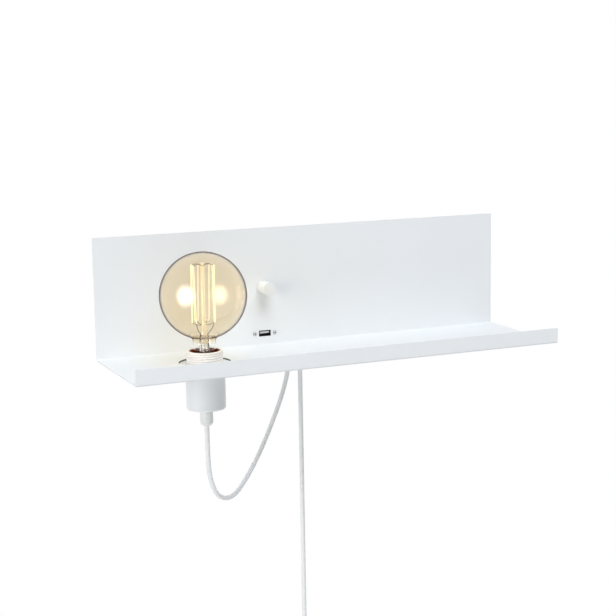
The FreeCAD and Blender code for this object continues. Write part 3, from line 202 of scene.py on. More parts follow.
def laid_cord(name, points):
    """A cord along a smooth line whose control points are the route's points."""
    line = bpy.data.curves.new(name, "CURVE")
    line.dimensions = "3D"
    spline = line.splines.new("NURBS")
    spline.points.add(len(points) - 1)
    for point, place in zip(spline.points, points):
        point.co = (*place, 1)
    spline.order_u = 3
    spline.use_endpoint_u = True
    spline.resolution_u = 8
    line.bevel_depth = cord_radius
    line.bevel_resolution = 6
    line.use_fill_caps = True
    line.materials.append(cord_sheath)
    made = bpy.data.objects.new(name, line)
    bpy.context.scene.collection.objects.link(made)
    return made


lamp_cord = laid_cord("lamp_cord_line", [
    (-0.1515, -0.1055, -0.15225),
    (-0.1515, -0.1055, -0.186),
    (-0.1495, -0.1042, -0.213),
    (-0.138, -0.0965, -0.2385),
    (-0.115, -0.081, -0.2465),
    (-0.0925, -0.0655, -0.2315),
    (-0.069, -0.050, -0.207),
    (-0.046, -0.0345, -0.176),
    (-0.027, -0.0215, -0.146),
    (-0.0165, -0.0146, -0.120),
    (-0.0155, -0.014, -0.104),
])
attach(lamp_cord, "root")
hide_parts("lamp_cord")

# The mains cord leaves the housing at mains_x, mains_y, turns aside by the entry angle, and
# runs into a coil whose layers wind inwards and outwards by turns, from the wall to the room.
mains_x, mains_y = -0.0015, -0.014
straight_end, entry, entry_radius = -0.434, math.radians(48), 0.027
tangent = entry_radius * math.tan(entry / 2)
corner = Vector((mains_x, mains_y, straight_end - tangent))
onwards = Vector((math.sin(entry), 0, -math.cos(entry)))
leg_above, leg_share = 0.0267, 0.45
mains_end = corner + onwards * tangent / leg_share
coil_turns, coil_layers, coil_radius, coil_pitch = 7, 4, 0.0362, 0.00595
coil_start = mains_end + onwards * 2 * cord_radius
coil_centre = coil_start - Vector((math.cos(entry), 0, math.sin(entry))) * coil_radius
coil_angle = 2 * math.pi * coil_turns + entry
layer_angle = coil_angle / coil_layers
inner_radius = coil_radius - coil_pitch * layer_angle / (2 * math.pi)
mains_points = [
    Vector((mains_x, mains_y, -0.104)),
    Vector((mains_x, mains_y, corner.z + leg_above)),
    corner,
    mains_end,
]
# The smooth line runs a little inside its control points, so these lie further out.
coil_steps, points_reach = 24 * coil_turns + 3, 1 / 0.9915
for step in range(coil_steps + 1):
    turned_by = coil_angle * step / coil_steps
    layer = min(int(turned_by / layer_angle), coil_layers - 1)
    share = turned_by / layer_angle - layer
    inward = share if layer % 2 == 0 else 1 - share
    reach = (coil_radius + (inner_radius - coil_radius) * inward) * points_reach
    depth = 0.0
    for reversal in range(1, coil_layers):
        climb = (turned_by - reversal * layer_angle) / math.pi + 0.5
        climb = min(max(climb, 0.0), 1.0)
        depth += coil_pitch * (climb - math.sin(2 * math.pi * climb) / (2 * math.pi))
    angle = entry - turned_by
    mains_points.append(coil_centre + Vector((reach * math.cos(angle), -depth,
                                              reach * math.sin(angle))))
coil_last = coil_centre + Vector((coil_radius, -(coil_layers - 1) * coil_pitch, 0))
mains_points[-1] = coil_last
mains_points += [coil_last - Vector((0, 0, 2 * cord_radius + tail)) for tail in (0, 0.02, 0.046)]
mains_cord = laid_cord("mains_cord_line", mains_points)
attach(mains_cord, "root")
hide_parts("mains_cord", "mains_cord_coil", "mains_cord_tail")

# ---------------------------------------------------------------- panel, shelf and lip
# One sheet of 1.5 mm steel, folded twice and powder coated white: the coat is satin, with a
# very fine orange peel. The lampholder, knob shaft and charging port come through cut holes.
powder_coat = surface("white_powder_coat", linear(237, 239, 241), roughness=0.50, grain=0.0011,
                      shade=0.012, relief=0.0000045, broad=0.09)
powder_coat.node_tree.nodes["Principled BSDF"].inputs["Specular IOR Level"].default_value = 0.25


def dress(material, *names):
    """Solids that keep their own shape get their finish."""
    for name in names:
        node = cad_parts[name]
        node.data.materials.clear()
        node.data.materials.append(material)


dress(powder_coat, "shelf_panel")

# ---------------------------------------------------------------- rear housing and bracket
# Folded housing in the same white coat, spot welded to the panel's back; inside it a zinc
# plated cover on four posts, and the zinc plated wall bracket that it hangs on.
zinc_plate = surface("zinc_plated_steel", linear(178, 180, 182), roughness=0.34, grain=0.0035,
                     shade=0.10, relief=0.000004, metal=1.0, gloss_change=0.10,
                     stretch=(1, 1, 0.25))
screw_steel = surface("bright_zinc_screws", linear(196, 196, 194), roughness=0.28, grain=0.0008,
                      shade=0.08, relief=0.000003, metal=1.0, gloss_change=0.08)
dress(powder_coat, "rear_housing")
dress(zinc_plate, "housing_cover", "cover_posts", "wall_bracket")


def closed_mesh(name, body, material, build):
    """A piece made in a bmesh, with its doubles merged and its faces turned outwards."""
    shape = bmesh.new()
    build(shape)
    bmesh.ops.remove_doubles(shape, verts=shape.verts, dist=0.0000002)
    bmesh.ops.recalc_face_normals(shape, faces=shape.faces)
    mesh = bpy.data.meshes.new(name)
    shape.to_mesh(mesh)
    shape.free()
    mesh.shade_smooth()
    mesh.set_sharp_from_angle(angle=math.radians(32))
    mesh.materials.append(material)
    made = bpy.data.objects.new(name, mesh)
    bpy.context.scene.collection.objects.link(made)
    if body:
        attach(made, body)
    return made


def eased(corners, steps=5):
    """An outline in millimetres whose corners (x, z, easing) are rounded."""
    line = []
    for index, corner in enumerate(corners):
        here = Vector(corner[:2])
        ease = corner[2] if len(corner) > 2 else 0
        if not ease:
            line.append(here)
            continue
        back = (Vector(corners[index - 1][:2]) - here).normalized() * ease
        onward = (Vector(corners[(index + 1) % len(corners)][:2]) - here).normalized() * ease
        for step in range(steps + 1):
            t = step / steps
            line.append(here + back * (1 - t) ** 2 + onward * t * t)
    return line


def turned_shape(line, at, facing="up", around=96, relief=None):
    """Builds a turned part from its closed half outline (radius, height) in millimetres."""
    def build(shape):
        rings = []
        for radius, height in line:
            ring = []
            for index in range(1 if radius < 1e-6 else around):
                angle = 2 * math.pi * index / around
                reach = relief(radius, height, angle) if relief else radius
                x, y, z = reach * math.cos(angle), reach * math.sin(angle), height
                if facing == "room":
                    x, y, z = x, -z, y
                ring.append(shape.verts.new(Vector(at) + Vector((x, y, z)) / 1000))
            rings.append(ring)
        for index, ring in enumerate(rings):
            after = rings[(index + 1) % len(rings)]
            if len(ring) == 1 and len(after) == 1:
                continue
            for step in range(around):
                corners = [ring[step % len(ring)], ring[(step + 1) % len(ring)],
                           after[(step + 1) % len(after)], after[step % len(after)]]
                corners = list(dict.fromkeys(corners))
                if len(corners) > 2:
                    shape.faces.new(corners)
    return build


def geometry_tree(name, inputs):
    """An empty tree that takes a geometry and the named inputs, and gives a geometry."""
    tree = bpy.data.node_groups.new(name, "GeometryNodeTree")
    tree.interface.new_socket("Geometry", in_out="INPUT", socket_type="NodeSocketGeometry")
    for label, kind in inputs.items():
        tree.interface.new_socket(label, in_out="INPUT", socket_type=kind)
    tree.interface.new_socket("Geometry", in_out="OUTPUT", socket_type="NodeSocketGeometry")
    return tree


def grown(name, carrier, tree, sizes):
    """The piece that a tree makes of a carrier mesh or curve, as a plain mesh."""
    seed = bpy.data.objects.new(name + "_seed", carrier)
    bpy.context.scene.collection.objects.link(seed)
    modifier = seed.modifiers.new("layout", "NODES")
    modifier.node_group = tree
    for item in tree.interface.items_tree:
        if item.in_out == "INPUT" and item.name in sizes:
            modifier[item.identifier] = sizes[item.name]
    depsgraph = bpy.context.evaluated_depsgraph_get()
    mesh = bpy.data.meshes.new_from_object(seed.evaluated_get(depsgraph), depsgraph=depsgraph)
    mesh.name = name
    bpy.data.objects.remove(seed)
    made = bpy.data.objects.new(name, mesh)
    bpy.context.scene.collection.objects.link(made)
    return made


def repeated(name, body, material, part, places, turns):
    """Copies of one screw at several places, each turned further than the last."""
    tree = geometry_tree(name + "_layout", {"Part": "NodeSocketObject",
                                            "Turn": "NodeSocketFloat"})
    given = add_node(tree, "NodeGroupInput")
    info = add_node(tree, "GeometryNodeObjectInfo", {"Object": given.outputs["Part"]})
    number = add_node(tree, "GeometryNodeInputIndex")
    angle = add_node(tree, "ShaderNodeMath", {
        0: number.outputs[0], 1: given.outputs["Turn"]}, operation="MULTIPLY")
    spin = add_node(tree, "ShaderNodeVectorMath", {
        0: (0, 1, 0), "Scale": angle.outputs[0]}, operation="SCALE")
    put = add_node(tree, "GeometryNodeInstanceOnPoints", {
        "Points": given.outputs["Geometry"], "Instance": info.outputs["Geometry"],
        "Rotation": spin.outputs[0]})
    real = add_node(tree, "GeometryNodeRealizeInstances", {0: put.outputs[0]})
    coat = add_node(tree, "GeometryNodeSetMaterial", {
        "Geometry": real.outputs[0], "Material": material})
    add_node(tree, "NodeGroupOutput", {0: coat.outputs[0]})
    points = bpy.data.meshes.new(name + "_places")
    points.from_pydata(places, [], [])
    made = grown(name, points, tree, {"Part": part, "Turn": turns})
    bpy.data.objects.remove(part)
    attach(made, body)
    return made


def cross_screw(head, height, shank, length, facing, thread=0.5):
    """A pan-head screw with a cross recess, at the origin, its head towards the given side."""
    lines = eased([(0, height), (head * 0.62, height * 0.96, head * 0.25),
                   (head, height * 0.4, height * 0.25), (head, 0, height * 0.06), (shank, 0)])
    for turn in range(int(length / thread)):
        top = -turn * thread
        lines += [Vector((shank, top - thread * 0.15)), Vector((shank * 0.84, top - thread * 0.5)),
                  Vector((shank, top - thread * 0.85))]
    lines += [Vector((shank * 0.6, -length)), Vector((0, -length))]
    blank = closed_mesh("blank", None, screw_steel, turned_shape(lines, (0, 0, 0), around=28))
    recess = bmesh.new()
    for turn in (0, 90):
        arm = bmesh.ops.create_cube(recess, size=0.001)["verts"]
        bmesh.ops.scale(recess, verts=arm, vec=(head * 1.2, head * 0.32, height))
        bmesh.ops.translate(recess, verts=arm, vec=(0, 0, height * 0.00085))
        bmesh.ops.rotate(recess, verts=arm, cent=(0, 0, 0),
                         matrix=Matrix.Rotation(math.radians(turn), 3, "Z"))
    cutter_mesh = bpy.data.meshes.new("recess")
    recess.to_mesh(cutter_mesh)
    recess.free()
    cutter = bpy.data.objects.new("recess", cutter_mesh)
    bpy.context.scene.collection.objects.link(cutter)
    cut = blank.modifiers.new("recess", "BOOLEAN")
    cut.object = cutter
    cut.operation = "DIFFERENCE"
    cut.solver = "EXACT"
    cut.use_self = True
    depsgraph = bpy.context.evaluated_depsgraph_get()
    mesh = bpy.data.meshes.new_from_object(blank.evaluated_get(depsgraph), depsgraph=depsgraph)
    bpy.data.objects.remove(blank)
    bpy.data.objects.remove(cutter)
    tipped, axis = {"room": (90, "X"), "wall": (-90, "X"), "right": (90, "Y")}[facing]
    mesh.transform(Matrix.Rotation(math.radians(tipped), 4, axis))
    part = bpy.data.objects.new("screw", mesh)
    bpy.context.scene.collection.objects.link(part)
    return part


cover_screws = repeated("cover_screw_set", "root", screw_steel,
                        cross_screw(head=2.8, height=1.8, shank=1.5, length=6, facing="wall"),
                        [(x, -0.008, z) for x in (-0.080, 0.064) for z in (-0.074, 0.022)],
                        turns=0.7)
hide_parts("cover_screws")
locking_screws = repeated("locking_screw_pair", "root", screw_steel,
                          cross_screw(head=3.8, height=2.2, shank=1.95, length=6.5,
                                      facing="right", thread=0.7),
                          [(0.130, -0.011, 0), (-0.130, -0.011, 0)], turns=math.pi)
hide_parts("locking_screws")

# ---------------------------------------------------------------- lampholder
# A moulded white lampholder: its threaded sleeve comes up through the shelf, a thin ring screws
# down on it, and a smooth dome with a rounded foot closes it below. Inside are a brown liner,
# a ceramic carrier and a threaded brass shell.
holder = (-0.1515, -0.1055, -0.085)
holder_white = surface("white_lampholder", linear(236, 238, 240), roughness=0.36, grain=0.0012,
                       shade=0.012, relief=0.000003)


def thread_cut(root_radius, low, high, rise, depth, sides=1):
    """A thread for a turned part: its radius falls between the crests, and fades at the ends."""
    def relief(radius, height, angle):
        if abs(radius - root_radius) > 0.01 or not low <= height <= high:
            return radius
        phase = (height / rise - angle / (2 * math.pi)) % 1
        wave = min(max(abs(phase - 0.5) * 3 - 0.25, 0), 1)
        fade = min((height - low) / (rise * 0.6), (high - height) / (rise * 0.6), 1)
        return radius - sides * depth * (1 - wave) * max(fade, 0)
    return relief


def wall_of(radius, low, high, step):
    """Points up or down a straight wall, close enough together to carry a thread."""
    count = max(int(abs(high - low) / step), 1)
    return [Vector((radius, low + (high - low) * index / count)) for index in range(count + 1)]


sleeve_line = eased([(18, 13.5), (16.75, 13.5), (16.75, 15.5, 0.4), (19.2, 15.5, 0.3)]
                    + wall_of(20, 14.8, 0.2, 0.2)
                    + [(20, -1.5), (21.5, -1.5, 0.2), (21.5, -12, 0.25), (19.3, -12),
                       (19.3, -20), (18, -20)])
# The sleeve's white is warmer and lighter than the dome's: painted warm light from the bulb above
# it.
sleeve_white_painted_warm_light = surface("sleeve_white_painted_bulb_light", linear(250, 246, 241), roughness=0.36, grain=0.0012,
                       shade=0.01, relief=0.000003)
sleeve_thread = thread_cut(20, low=0.4, high=14.6, rise=2.5, depth=0.85)
lampholder_sleeve = closed_mesh("threaded_sleeve", "root", sleeve_white_painted_warm_light, turned_shape(
    sleeve_line, holder, around=160, relief=sleeve_thread))
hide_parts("lampholder_sleeve")


def lay_over(material, share, colour):
    """A second colour over a finish's own, as strong as the share says."""
    tree = material.node_tree
    tone = add_node(tree, "ShaderNodeMix", {
        "Factor": share, "A": tree.nodes["Mix"].outputs["Result"], "B": colour}, data_type="RGBA")
    set_sockets(tree, tree.nodes["Principled BSDF"], {"Base Color": tone.outputs["Result"]})


# A thin dark band, 28 mm from the axis on the inner wall of the ring's raised rim, is painted shade
# laid over the ring's white.
shade_band_radius, shade_band_half, shade_band_height = 0.0280, 0.0004, 0.002
flange_with_painted_shade = surface("white_flange_painted_shade_band", linear(236, 238, 240), roughness=0.36,
                       grain=0.0012, shade=0.012, relief=0.000003)
flange = flange_with_painted_shade.node_tree
from_axis = add_node(flange, "ShaderNodeVectorMath", {
    0: flange.nodes["Texture Coordinate"].outputs["Object"],
    1: (holder[0], holder[1], holder[2] + shade_band_height)}, operation="DISTANCE")
in_painted_shade_band = add_node(flange, "ShaderNodeMath", {
    0: from_axis.outputs["Value"], 1: shade_band_radius, 2: shade_band_half}, operation="COMPARE")
lay_over(flange_with_painted_shade, in_painted_shade_band.outputs[0], linear(62, 64, 60))
ring_line = eased([(20.1, 0), (29, 0, 0.4), (29, 2.6, 0.4), (28.2, 2.6, 0.15), (27.8, 1.2, 0.15),
                   (20.7, 1.2, 0.15), (20.1, 0.8)])
shade_ring = closed_mesh("flange_ring", "root", flange_with_painted_shade,
                         turned_shape(ring_line, holder, around=160))
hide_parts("shade_ring")
dome_line = eased([(5.1, -48.75, 0.3), (21.5, -48.75, 2.6), (21.5, -12, 0.25), (19.4, -12),
                   (19.4, -20.5), (17.9, -20.5), (17.9, -27), (16.9, -27), (16.9, -46.75),
                   (5.1, -46.75)], steps=8)
lampholder_dome = closed_mesh("holder_dome", "root", holder_white,
                              turned_shape(dome_line, holder, around=160))
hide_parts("lampholder_dome")

phenolic = surface("brown_phenolic", linear(112, 46, 16), roughness=0.38, grain=0.0009, shade=0.25,
                   relief=0.000005)
steatite = surface("steatite_ceramic", linear(214, 210, 200), roughness=0.55, grain=0.0004,
                   shade=0.08, relief=0.000006)
brass = surface("bright_brass", linear(205, 172, 108), roughness=0.25, grain=0.0012, shade=0.09,
                relief=0.000003, metal=1.0, gloss_change=0.09)
liner_line = eased([(15.4, 15.2, 0.3), (16.7, 15.2, 0.2), (16.7, 13.5), (17.9, 13.5),
                    (17.9, -17), (16.4, -17), (16.4, -9), (15.4, -7)])
lampholder_liner = closed_mesh("mouth_liner", "root", phenolic,
                               turned_shape(liner_line, holder, around=128))
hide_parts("lampholder_liner")
dress(steatite, "contact_carrier")
dress(brass, "centre_contact", "holder_terminals")
dress(zinc_plate, "grip_nut")
cap_pitch, shell_in, shell_out = 3.63, 13.2, 13.6
shell_line = ([Vector((9, -17)), Vector((shell_out, -17))] + wall_of(shell_out, -16.5, 5.8, 0.3)
              + [Vector((shell_out, 6)), Vector((shell_in, 6))]
              + wall_of(shell_in, 5.8, -16.4, 0.3)
              + [Vector((shell_in, -16.6)), Vector((9, -16.6))])


def rolled(radius, height, angle):
    """The shell's thread is rolled, so it shows inside and outside alike."""
    side = shell_in if radius < (shell_in + shell_out) / 2 else shell_out
    cut = thread_cut(side, low=-15, high=5, rise=cap_pitch, depth=0.35, sides=-1)
    return cut(radius, height, angle)


screw_shell = closed_mesh("threaded_shell", "root", brass,
                          turned_shape(shell_line, holder, around=96, relief=rolled))
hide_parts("screw_shell")

# ---------------------------------------------------------------- cord grips and bushes
# White nylon: the grip is screwed into the dome's foot and closes on the cord; two bushes
# with a soft tapered nose take the cords out of the housing's underside.
nylon = surface("white_nylon", linear(236, 237, 237), roughness=0.46, grain=0.0009, shade=0.015,
                relief=0.000006)
grip_line = eased([(2.72, -67.25), (5.2, -67.25, 0.6), (7.2, -64.6, 1.2), (7.2, -48.75, 0.3),
                   (5, -48.75), (5, -43.35, 0.3), (2.72, -43.35)], steps=6)
cord_grip = closed_mesh("holder_cord_grip", "root", nylon,
                        turned_shape(grip_line, holder, around=72))
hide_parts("cord_grip")
bush_line = eased([(2.72, -22), (3.7, -22, 0.3), (4.7, -3.4, 0.4), (6, -1.8, 0.5), (6, 0, 0.1),
                   (4.9, 0), (4.9, 1), (5.6, 1, 0.1), (5.3, 2.8, 0.3), (2.72, 2.8)])
lamp_cord_x, bush_height = -0.0155, -0.082
for name, node, bush_x in (("mains_cord_bush", "mains_bush", mains_x),
                           ("lamp_cord_bush_moulded", "lamp_cord_bush", lamp_cord_x)):
    bush = closed_mesh(name, "root", nylon,
                       turned_shape(bush_line, (bush_x, mains_y, bush_height), around=64))
    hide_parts(node)

# ---------------------------------------------------------------- globe bulb
# Blown glass, 95 mm across: a globe with an amber lustre and a short clear neck, sealed to the
# stem in a brass cap. Its wall is 0.8 mm; towards the globe's edge, where the wall is seen
# edge-on, the glass is painted dark, a painted shade for the dark surroundings glass shows there.
amber_glass = bpy.data.materials.new("amber_glass")
amber_glass.use_nodes = True
amber = amber_glass.node_tree
glass_place = add_node(amber, "ShaderNodeTexCoord").outputs["Object"]
height_here = add_node(amber, "ShaderNodeSeparateXYZ", {0: glass_place})
tinted_part = add_node(amber, "ShaderNodeMapRange", {
    "Value": height_here.outputs["Z"], "From Min": -0.0640, "From Max": -0.0565},
    interpolation_type="SMOOTHSTEP")
tint = add_node(amber, "ShaderNodeMix", {
    "Factor": tinted_part.outputs[0], "A": (0.985, 0.98, 0.97, 1), "B": (0.950, 0.872, 0.730, 1)},
    data_type="RGBA")
# Towards the tinted globe's edge the glass is painted dark brown and partly dark see-through:
# painted shade, not the glass's own colour.
along_glass = add_node(amber, "ShaderNodeLayerWeight", {"Blend": 0.5})
rim = add_node(amber, "ShaderNodeMapRange", {
    "Value": along_glass.outputs["Facing"], "From Min": 0.69, "From Max": 0.90},
    interpolation_type="SMOOTHSTEP")
painted_edge_of_tinted = add_node(amber, "ShaderNodeMath", {
    0: rim.outputs[0], 1: tinted_part.outputs[0]}, operation="MULTIPLY")
tint_with_painted_edge = add_node(amber, "ShaderNodeMix", {
    "Factor": painted_edge_of_tinted.outputs[0], "A": tint.outputs["Result"], "B": (0.24, 0.13, 0.05, 1)},
    data_type="RGBA")
ripple = add_node(amber, "ShaderNodeTexNoise", {"Vector": glass_place, "Scale": 28})
ripple_bump = add_node(amber, "ShaderNodeBump", {
    "Height": ripple.outputs[0], "Strength": 0.25, "Distance": 0.0002})
glass = set_sockets(amber, amber.nodes["Principled BSDF"], {
    "Base Color": tint_with_painted_edge.outputs["Result"], "Normal": ripple_bump.outputs[0],
    "Transmission Weight": 1, "Roughness": 0.0, "IOR": 1.5, "Specular IOR Level": 0.95})
painted_edge_share = add_node(amber, "ShaderNodeMath", {
    0: painted_edge_of_tinted.outputs[0], 1: 0.9}, operation="MULTIPLY")
painted_dark_edge = add_node(amber, "ShaderNodeBsdfTransparent", {"Color": (0.34, 0.19, 0.09, 1)})
glass_and_edge = add_node(amber, "ShaderNodeMixShader", {
    "Fac": painted_edge_share.outputs[0], 1: glass.outputs[0], 2: painted_dark_edge.outputs[0]})
let_through = add_node(amber, "ShaderNodeBsdfTransparent", {"Color": (0.98, 0.95, 0.88, 1)})
glass_or_light = add_node(amber, "ShaderNodeMixShader", {
    "Fac": add_node(amber, "ShaderNodeLightPath").outputs["Is Shadow Ray"],
    1: glass_and_edge.outputs[0], 2: let_through.outputs[0]})
set_sockets(amber, amber.nodes["Material Output"], {"Surface": glass_or_light.outputs[0]})


def arc_points(middle, radius, first, last, steps, side=1):
    """Points of an arc on the half outline, from one angle to another in degrees."""
    angles = [math.radians(first + (last - first) * step / steps) for step in range(steps + 1)]
    return [Vector((middle[0] + side * radius * math.cos(angle),
                    middle[1] + radius * math.sin(angle))) for angle in angles]


globe, wall, neck, fillet, globe_height = 47.2, 0.8, 12.2, 6.0, 75
drop = math.sqrt((globe + fillet) ** 2 - (neck + fillet) ** 2)
meeting = math.degrees(math.asin(drop / (globe + fillet)))
fillet_middle = (neck + fillet, globe_height - drop)
fillet_out = arc_points(fillet_middle, fillet, 0, meeting, steps=10, side=-1)
fillet_in = arc_points(fillet_middle, fillet + wall, 0, meeting, steps=10, side=-1)[::-1]
globe_out = arc_points((0, globe_height), globe, -meeting, 90, steps=72)
globe_in = arc_points((0, globe_height), globe - wall, 90, -meeting, steps=72)
globe_out[-1].x = globe_in[0].x = 0
glass_line = eased([(5, -2), (12.2, -2, 1)] + fillet_out + globe_out[1:] + globe_in
                   + fillet_in[1:] + [(11.4, -0.8, 0.4), (5, -0.8)])
bulb_glass = closed_mesh("blown_globe", "bulb", amber_glass,
                         turned_shape(glass_line, holder, around=160))
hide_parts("bulb_glass")

# A lamp for the globe alone gives it two broad bright reflections; what the glass would throw
# on from it to the panel is left out.
only_globe = bpy.data.collections.new("lit_by_globe_glint")
only_globe.objects.link(bulb_glass)
globe_glint = soft_lamp("globe_glint", (-3.70, -1.69, 0.37), (-0.05, -0.08, -0.05), "DISK",
                        size=5.2, power=500, tint=(1.0, 1.0, 1.0), in_gloss=True)
globe_glint.light_linking.receiver_collection = only_globe
glint = globe_glint.data.node_tree
seen_plainly = add_node(glint, "ShaderNodeMath", {
    0: add_node(glint, "ShaderNodeLightPath").outputs["Diffuse Depth"], 1: 0.5},
    operation="LESS_THAN")
glint_strength = add_node(glint, "ShaderNodeMath", {
    0: glint.nodes["Map Range"].outputs[0], 1: seen_plainly.outputs[0]}, operation="MULTIPLY")
set_sockets(glint, glint.nodes["Emission"], {"Strength": glint_strength.outputs[0]})


def clear_glass(name):
    """Clear, slightly rippled glass, as of a stem or a fuse."""
    made = surface(name, (0.97, 0.95, 0.90, 1), roughness=0.03, grain=0.004, shade=0.01,
                   relief=0.000004, gloss_change=0.03)
    set_sockets(made.node_tree, made.node_tree.nodes["Principled BSDF"], {
        "Transmission Weight": 0.98, "IOR": 1.5})
    return made


# The stem glows with painted light from the filament, from the press upwards.
stem_glass = clear_glass("lit_stem_glass")
stem = stem_glass.node_tree
stem_height = add_node(stem, "ShaderNodeSeparateXYZ", {
    0: stem.nodes["Texture Coordinate"].outputs["Object"]})
painted_stem_glow = add_node(stem, "ShaderNodeMapRange", {
    "Value": stem_height.outputs["Z"], "From Min": -0.062, "From Max": -0.040, "To Max": 0.10},
    interpolation_type="SMOOTHSTEP")
set_sockets(stem, stem.nodes["Principled BSDF"], {
    "Emission Color": (1.0, 0.74, 0.30, 1), "Emission Strength": painted_stem_glow.outputs[0]})
stem_line = eased([(0, 27), (3.4, 25), (4.2, 23), (4.2, -2), (5, -2), (5, 29, 2), (3.2, 33, 2),
                   (2.9, 43, 2), (2.3, 46, 2), (2.3, 107, 0.6), (3.3, 108, 0.5), (3.3, 109, 0.6),
                   (2.2, 110.2, 0.8), (0, 110.4)], steps=6)
press_low, press_high, press_ends = 22, 40, 6


def pressed(radius, height, angle):
    """The hot stem is pinched flat round the lead wires, wide along X and thin along Y."""
    if radius < 2 or not press_low < height < press_high:
        return radius
    pinch = min((height - press_low) / press_ends, (press_high - height) / press_ends, 1)
    return radius * (1 - pinch * (0.22 - 0.38 * math.cos(angle) ** 2))


bulb_stem = closed_mesh("glass_stem", "bulb", stem_glass,
                        turned_shape(stem_line, holder, around=64, relief=pressed))
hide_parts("bulb_stem")

cap_line = eased([(11.2, -9.9), (12.2, -9.9)] + wall_of(12.8, -9.1, 10, 0.3)
                 + [(13.2, 11, 0.2), (12.35, 11), (12.35, -8.5), (11.2, -9.3)])
cap_thread = thread_cut(12.8, low=-9, high=7, rise=cap_pitch, depth=0.75)
bulb_cap = closed_mesh("threaded_cap", "bulb", brass, turned_shape(
    cap_line, holder, around=96, relief=cap_thread))
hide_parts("bulb_cap")
cap_glass = surface("black_cap_glass", linear(30, 31, 34), roughness=0.12, grain=0.0015, shade=0.2,
                    relief=0.000004)
solder = surface("solder_tip", linear(176, 177, 180), roughness=0.32, grain=0.0007, shade=0.1,
                 relief=0.00001, metal=1.0)
dress(cap_glass, "cap_insulator")
dress(solder, "cap_contact")

# ---------------------------------------------------------------- filament
# The lit squirrel-cage filament: one finely coiled wire goes up and down ten strands round
# the stem, hung on ends of dark support wire, and fed by two lead wires from the press.
glowing = bpy.data.materials.new("glowing_filament")
glowing.use_nodes = True
glow = glowing.node_tree
glow_noise = add_node(glow, "ShaderNodeTexNoise", {
    "Vector": add_node(glow, "ShaderNodeTexCoord").outputs["Object"], "Scale": 60})
glow_mix = add_node(glow, "ShaderNodeMix", {
    "Factor": glow_noise.outputs[0], "A": (1.0, 0.86, 0.50, 1), "B": (1.0, 0.95, 0.72, 1)},
    data_type="RGBA")
set_sockets(glow, glow.nodes["Principled BSDF"], {
    "Base Color": (0.55, 0.38, 0.2, 1), "Roughness": 0.6, "Emission Strength": 1.6,
    "Emission Color": glow_mix.outputs["Result"]})


def on_bulb(radius, angle, rise):
    """A place round the bulb's axis, from millimetres and degrees, at a height over the shelf."""
    return Vector(holder) + Vector((radius * math.cos(math.radians(angle)),
                                    radius * math.sin(math.radians(angle)), rise)) / 1000


strands, strand_step, first_strand, cage = 10, 28.0, -58.0, 13.0
cage_low, cage_high, bend, bend_steps = 46.0, 108.0, 2.3, 12
half_gap = cage * math.sin(math.radians(strand_step))
overshoot = bend * ((cage_high - cage_low) / half_gap - 1) / (1 - 2 * bend / half_gap)
corners = [on_bulb(cage, first_strand + strand * strand_step,
                   cage_high + overshoot if strand % 2 else cage_low - overshoot)
           for strand in range(strands + 1)]
end_share = overshoot / (cage_high - cage_low + 2 * overshoot)
corners[0] = corners[0].lerp(corners[1], end_share)
corners[-1] = corners[-1].lerp(corners[-2], end_share)
cage_path = [corners[0]]
for before, corner, after in zip(corners, corners[1:], corners[2:]):
    back, onward = (before - corner).normalized(), (after - corner).normalized()
    inward = (back + onward).normalized()
    half = back.angle(onward) / 2
    centre = corner + inward * bend / 1000 / math.sin(half)
    across = (onward - inward * onward.dot(inward)).normalized()
    for step in range(bend_steps + 1):
        turn = (math.pi / 2 - half) * (2 * step / bend_steps - 1)
        cage_path.append(centre + (across * math.sin(turn) - inward * math.cos(turn)) * bend / 1000)
cage_path.append(corners[-1])
guide = bpy.data.curves.new("cage_guide", "CURVE")
guide.dimensions = "3D"
guide_line = guide.splines.new("POLY")
guide_line.points.add(len(cage_path) - 1)
for guide_point, place in zip(guide_line.points, cage_path):
    guide_point.co = (*place, 1)
winding_sizes = {"Turn Pitch": 0.00062, "Winding Radius": 0.00031, "Wire Radius": 0.00012,
                 "Points Per Turn": 7.0}
winding = geometry_tree("filament_winding", dict.fromkeys(winding_sizes, "NodeSocketFloat"))
coil_in = add_node(winding, "NodeGroupInput")
point_gap = add_node(winding, "ShaderNodeMath", {
    0: coil_in.outputs["Turn Pitch"], 1: coil_in.outputs["Points Per Turn"]}, operation="DIVIDE")
point_turn = add_node(winding, "ShaderNodeMath", {
    0: 2 * math.pi, 1: coil_in.outputs["Points Per Turn"]}, operation="DIVIDE")
angle_here = add_node(winding, "ShaderNodeMath", {
    0: add_node(winding, "GeometryNodeInputIndex").outputs[0], 1: point_turn.outputs[0]},
    operation="MULTIPLY")
spread_points = add_node(winding, "GeometryNodeResampleCurve", {
    "Curve": coil_in.outputs["Geometry"], "Length": point_gap.outputs[0]}, mode="LENGTH")
out_from_line = add_node(winding, "ShaderNodeVectorMath", {
    0: add_node(winding, "GeometryNodeInputNormal").outputs[0],
    "Scale": coil_in.outputs["Winding Radius"]}, operation="SCALE")
swing = add_node(winding, "ShaderNodeVectorRotate", {
    "Vector": out_from_line.outputs[0], "Angle": angle_here.outputs[0],
    "Axis": add_node(winding, "GeometryNodeInputTangent").outputs[0]},
    rotation_type="AXIS_ANGLE")
wind = add_node(winding, "GeometryNodeSetPosition", {
    "Geometry": spread_points.outputs[0], "Offset": swing.outputs[0]})
wire_ring = add_node(winding, "GeometryNodeCurvePrimitiveCircle", {
    "Resolution": 4, "Radius": coil_in.outputs["Wire Radius"]})
drawn = add_node(winding, "GeometryNodeCurveToMesh", {
    "Curve": wind.outputs[0], "Profile Curve": wire_ring.outputs[0], "Fill Caps": True})
whole = add_node(winding, "GeometryNodeRealizeInstances", {0: drawn.outputs[0]})
lit = add_node(winding, "GeometryNodeSetMaterial", {
    "Geometry": whole.outputs[0], "Material": glowing})
add_node(winding, "NodeGroupOutput", {0: lit.outputs[0]})
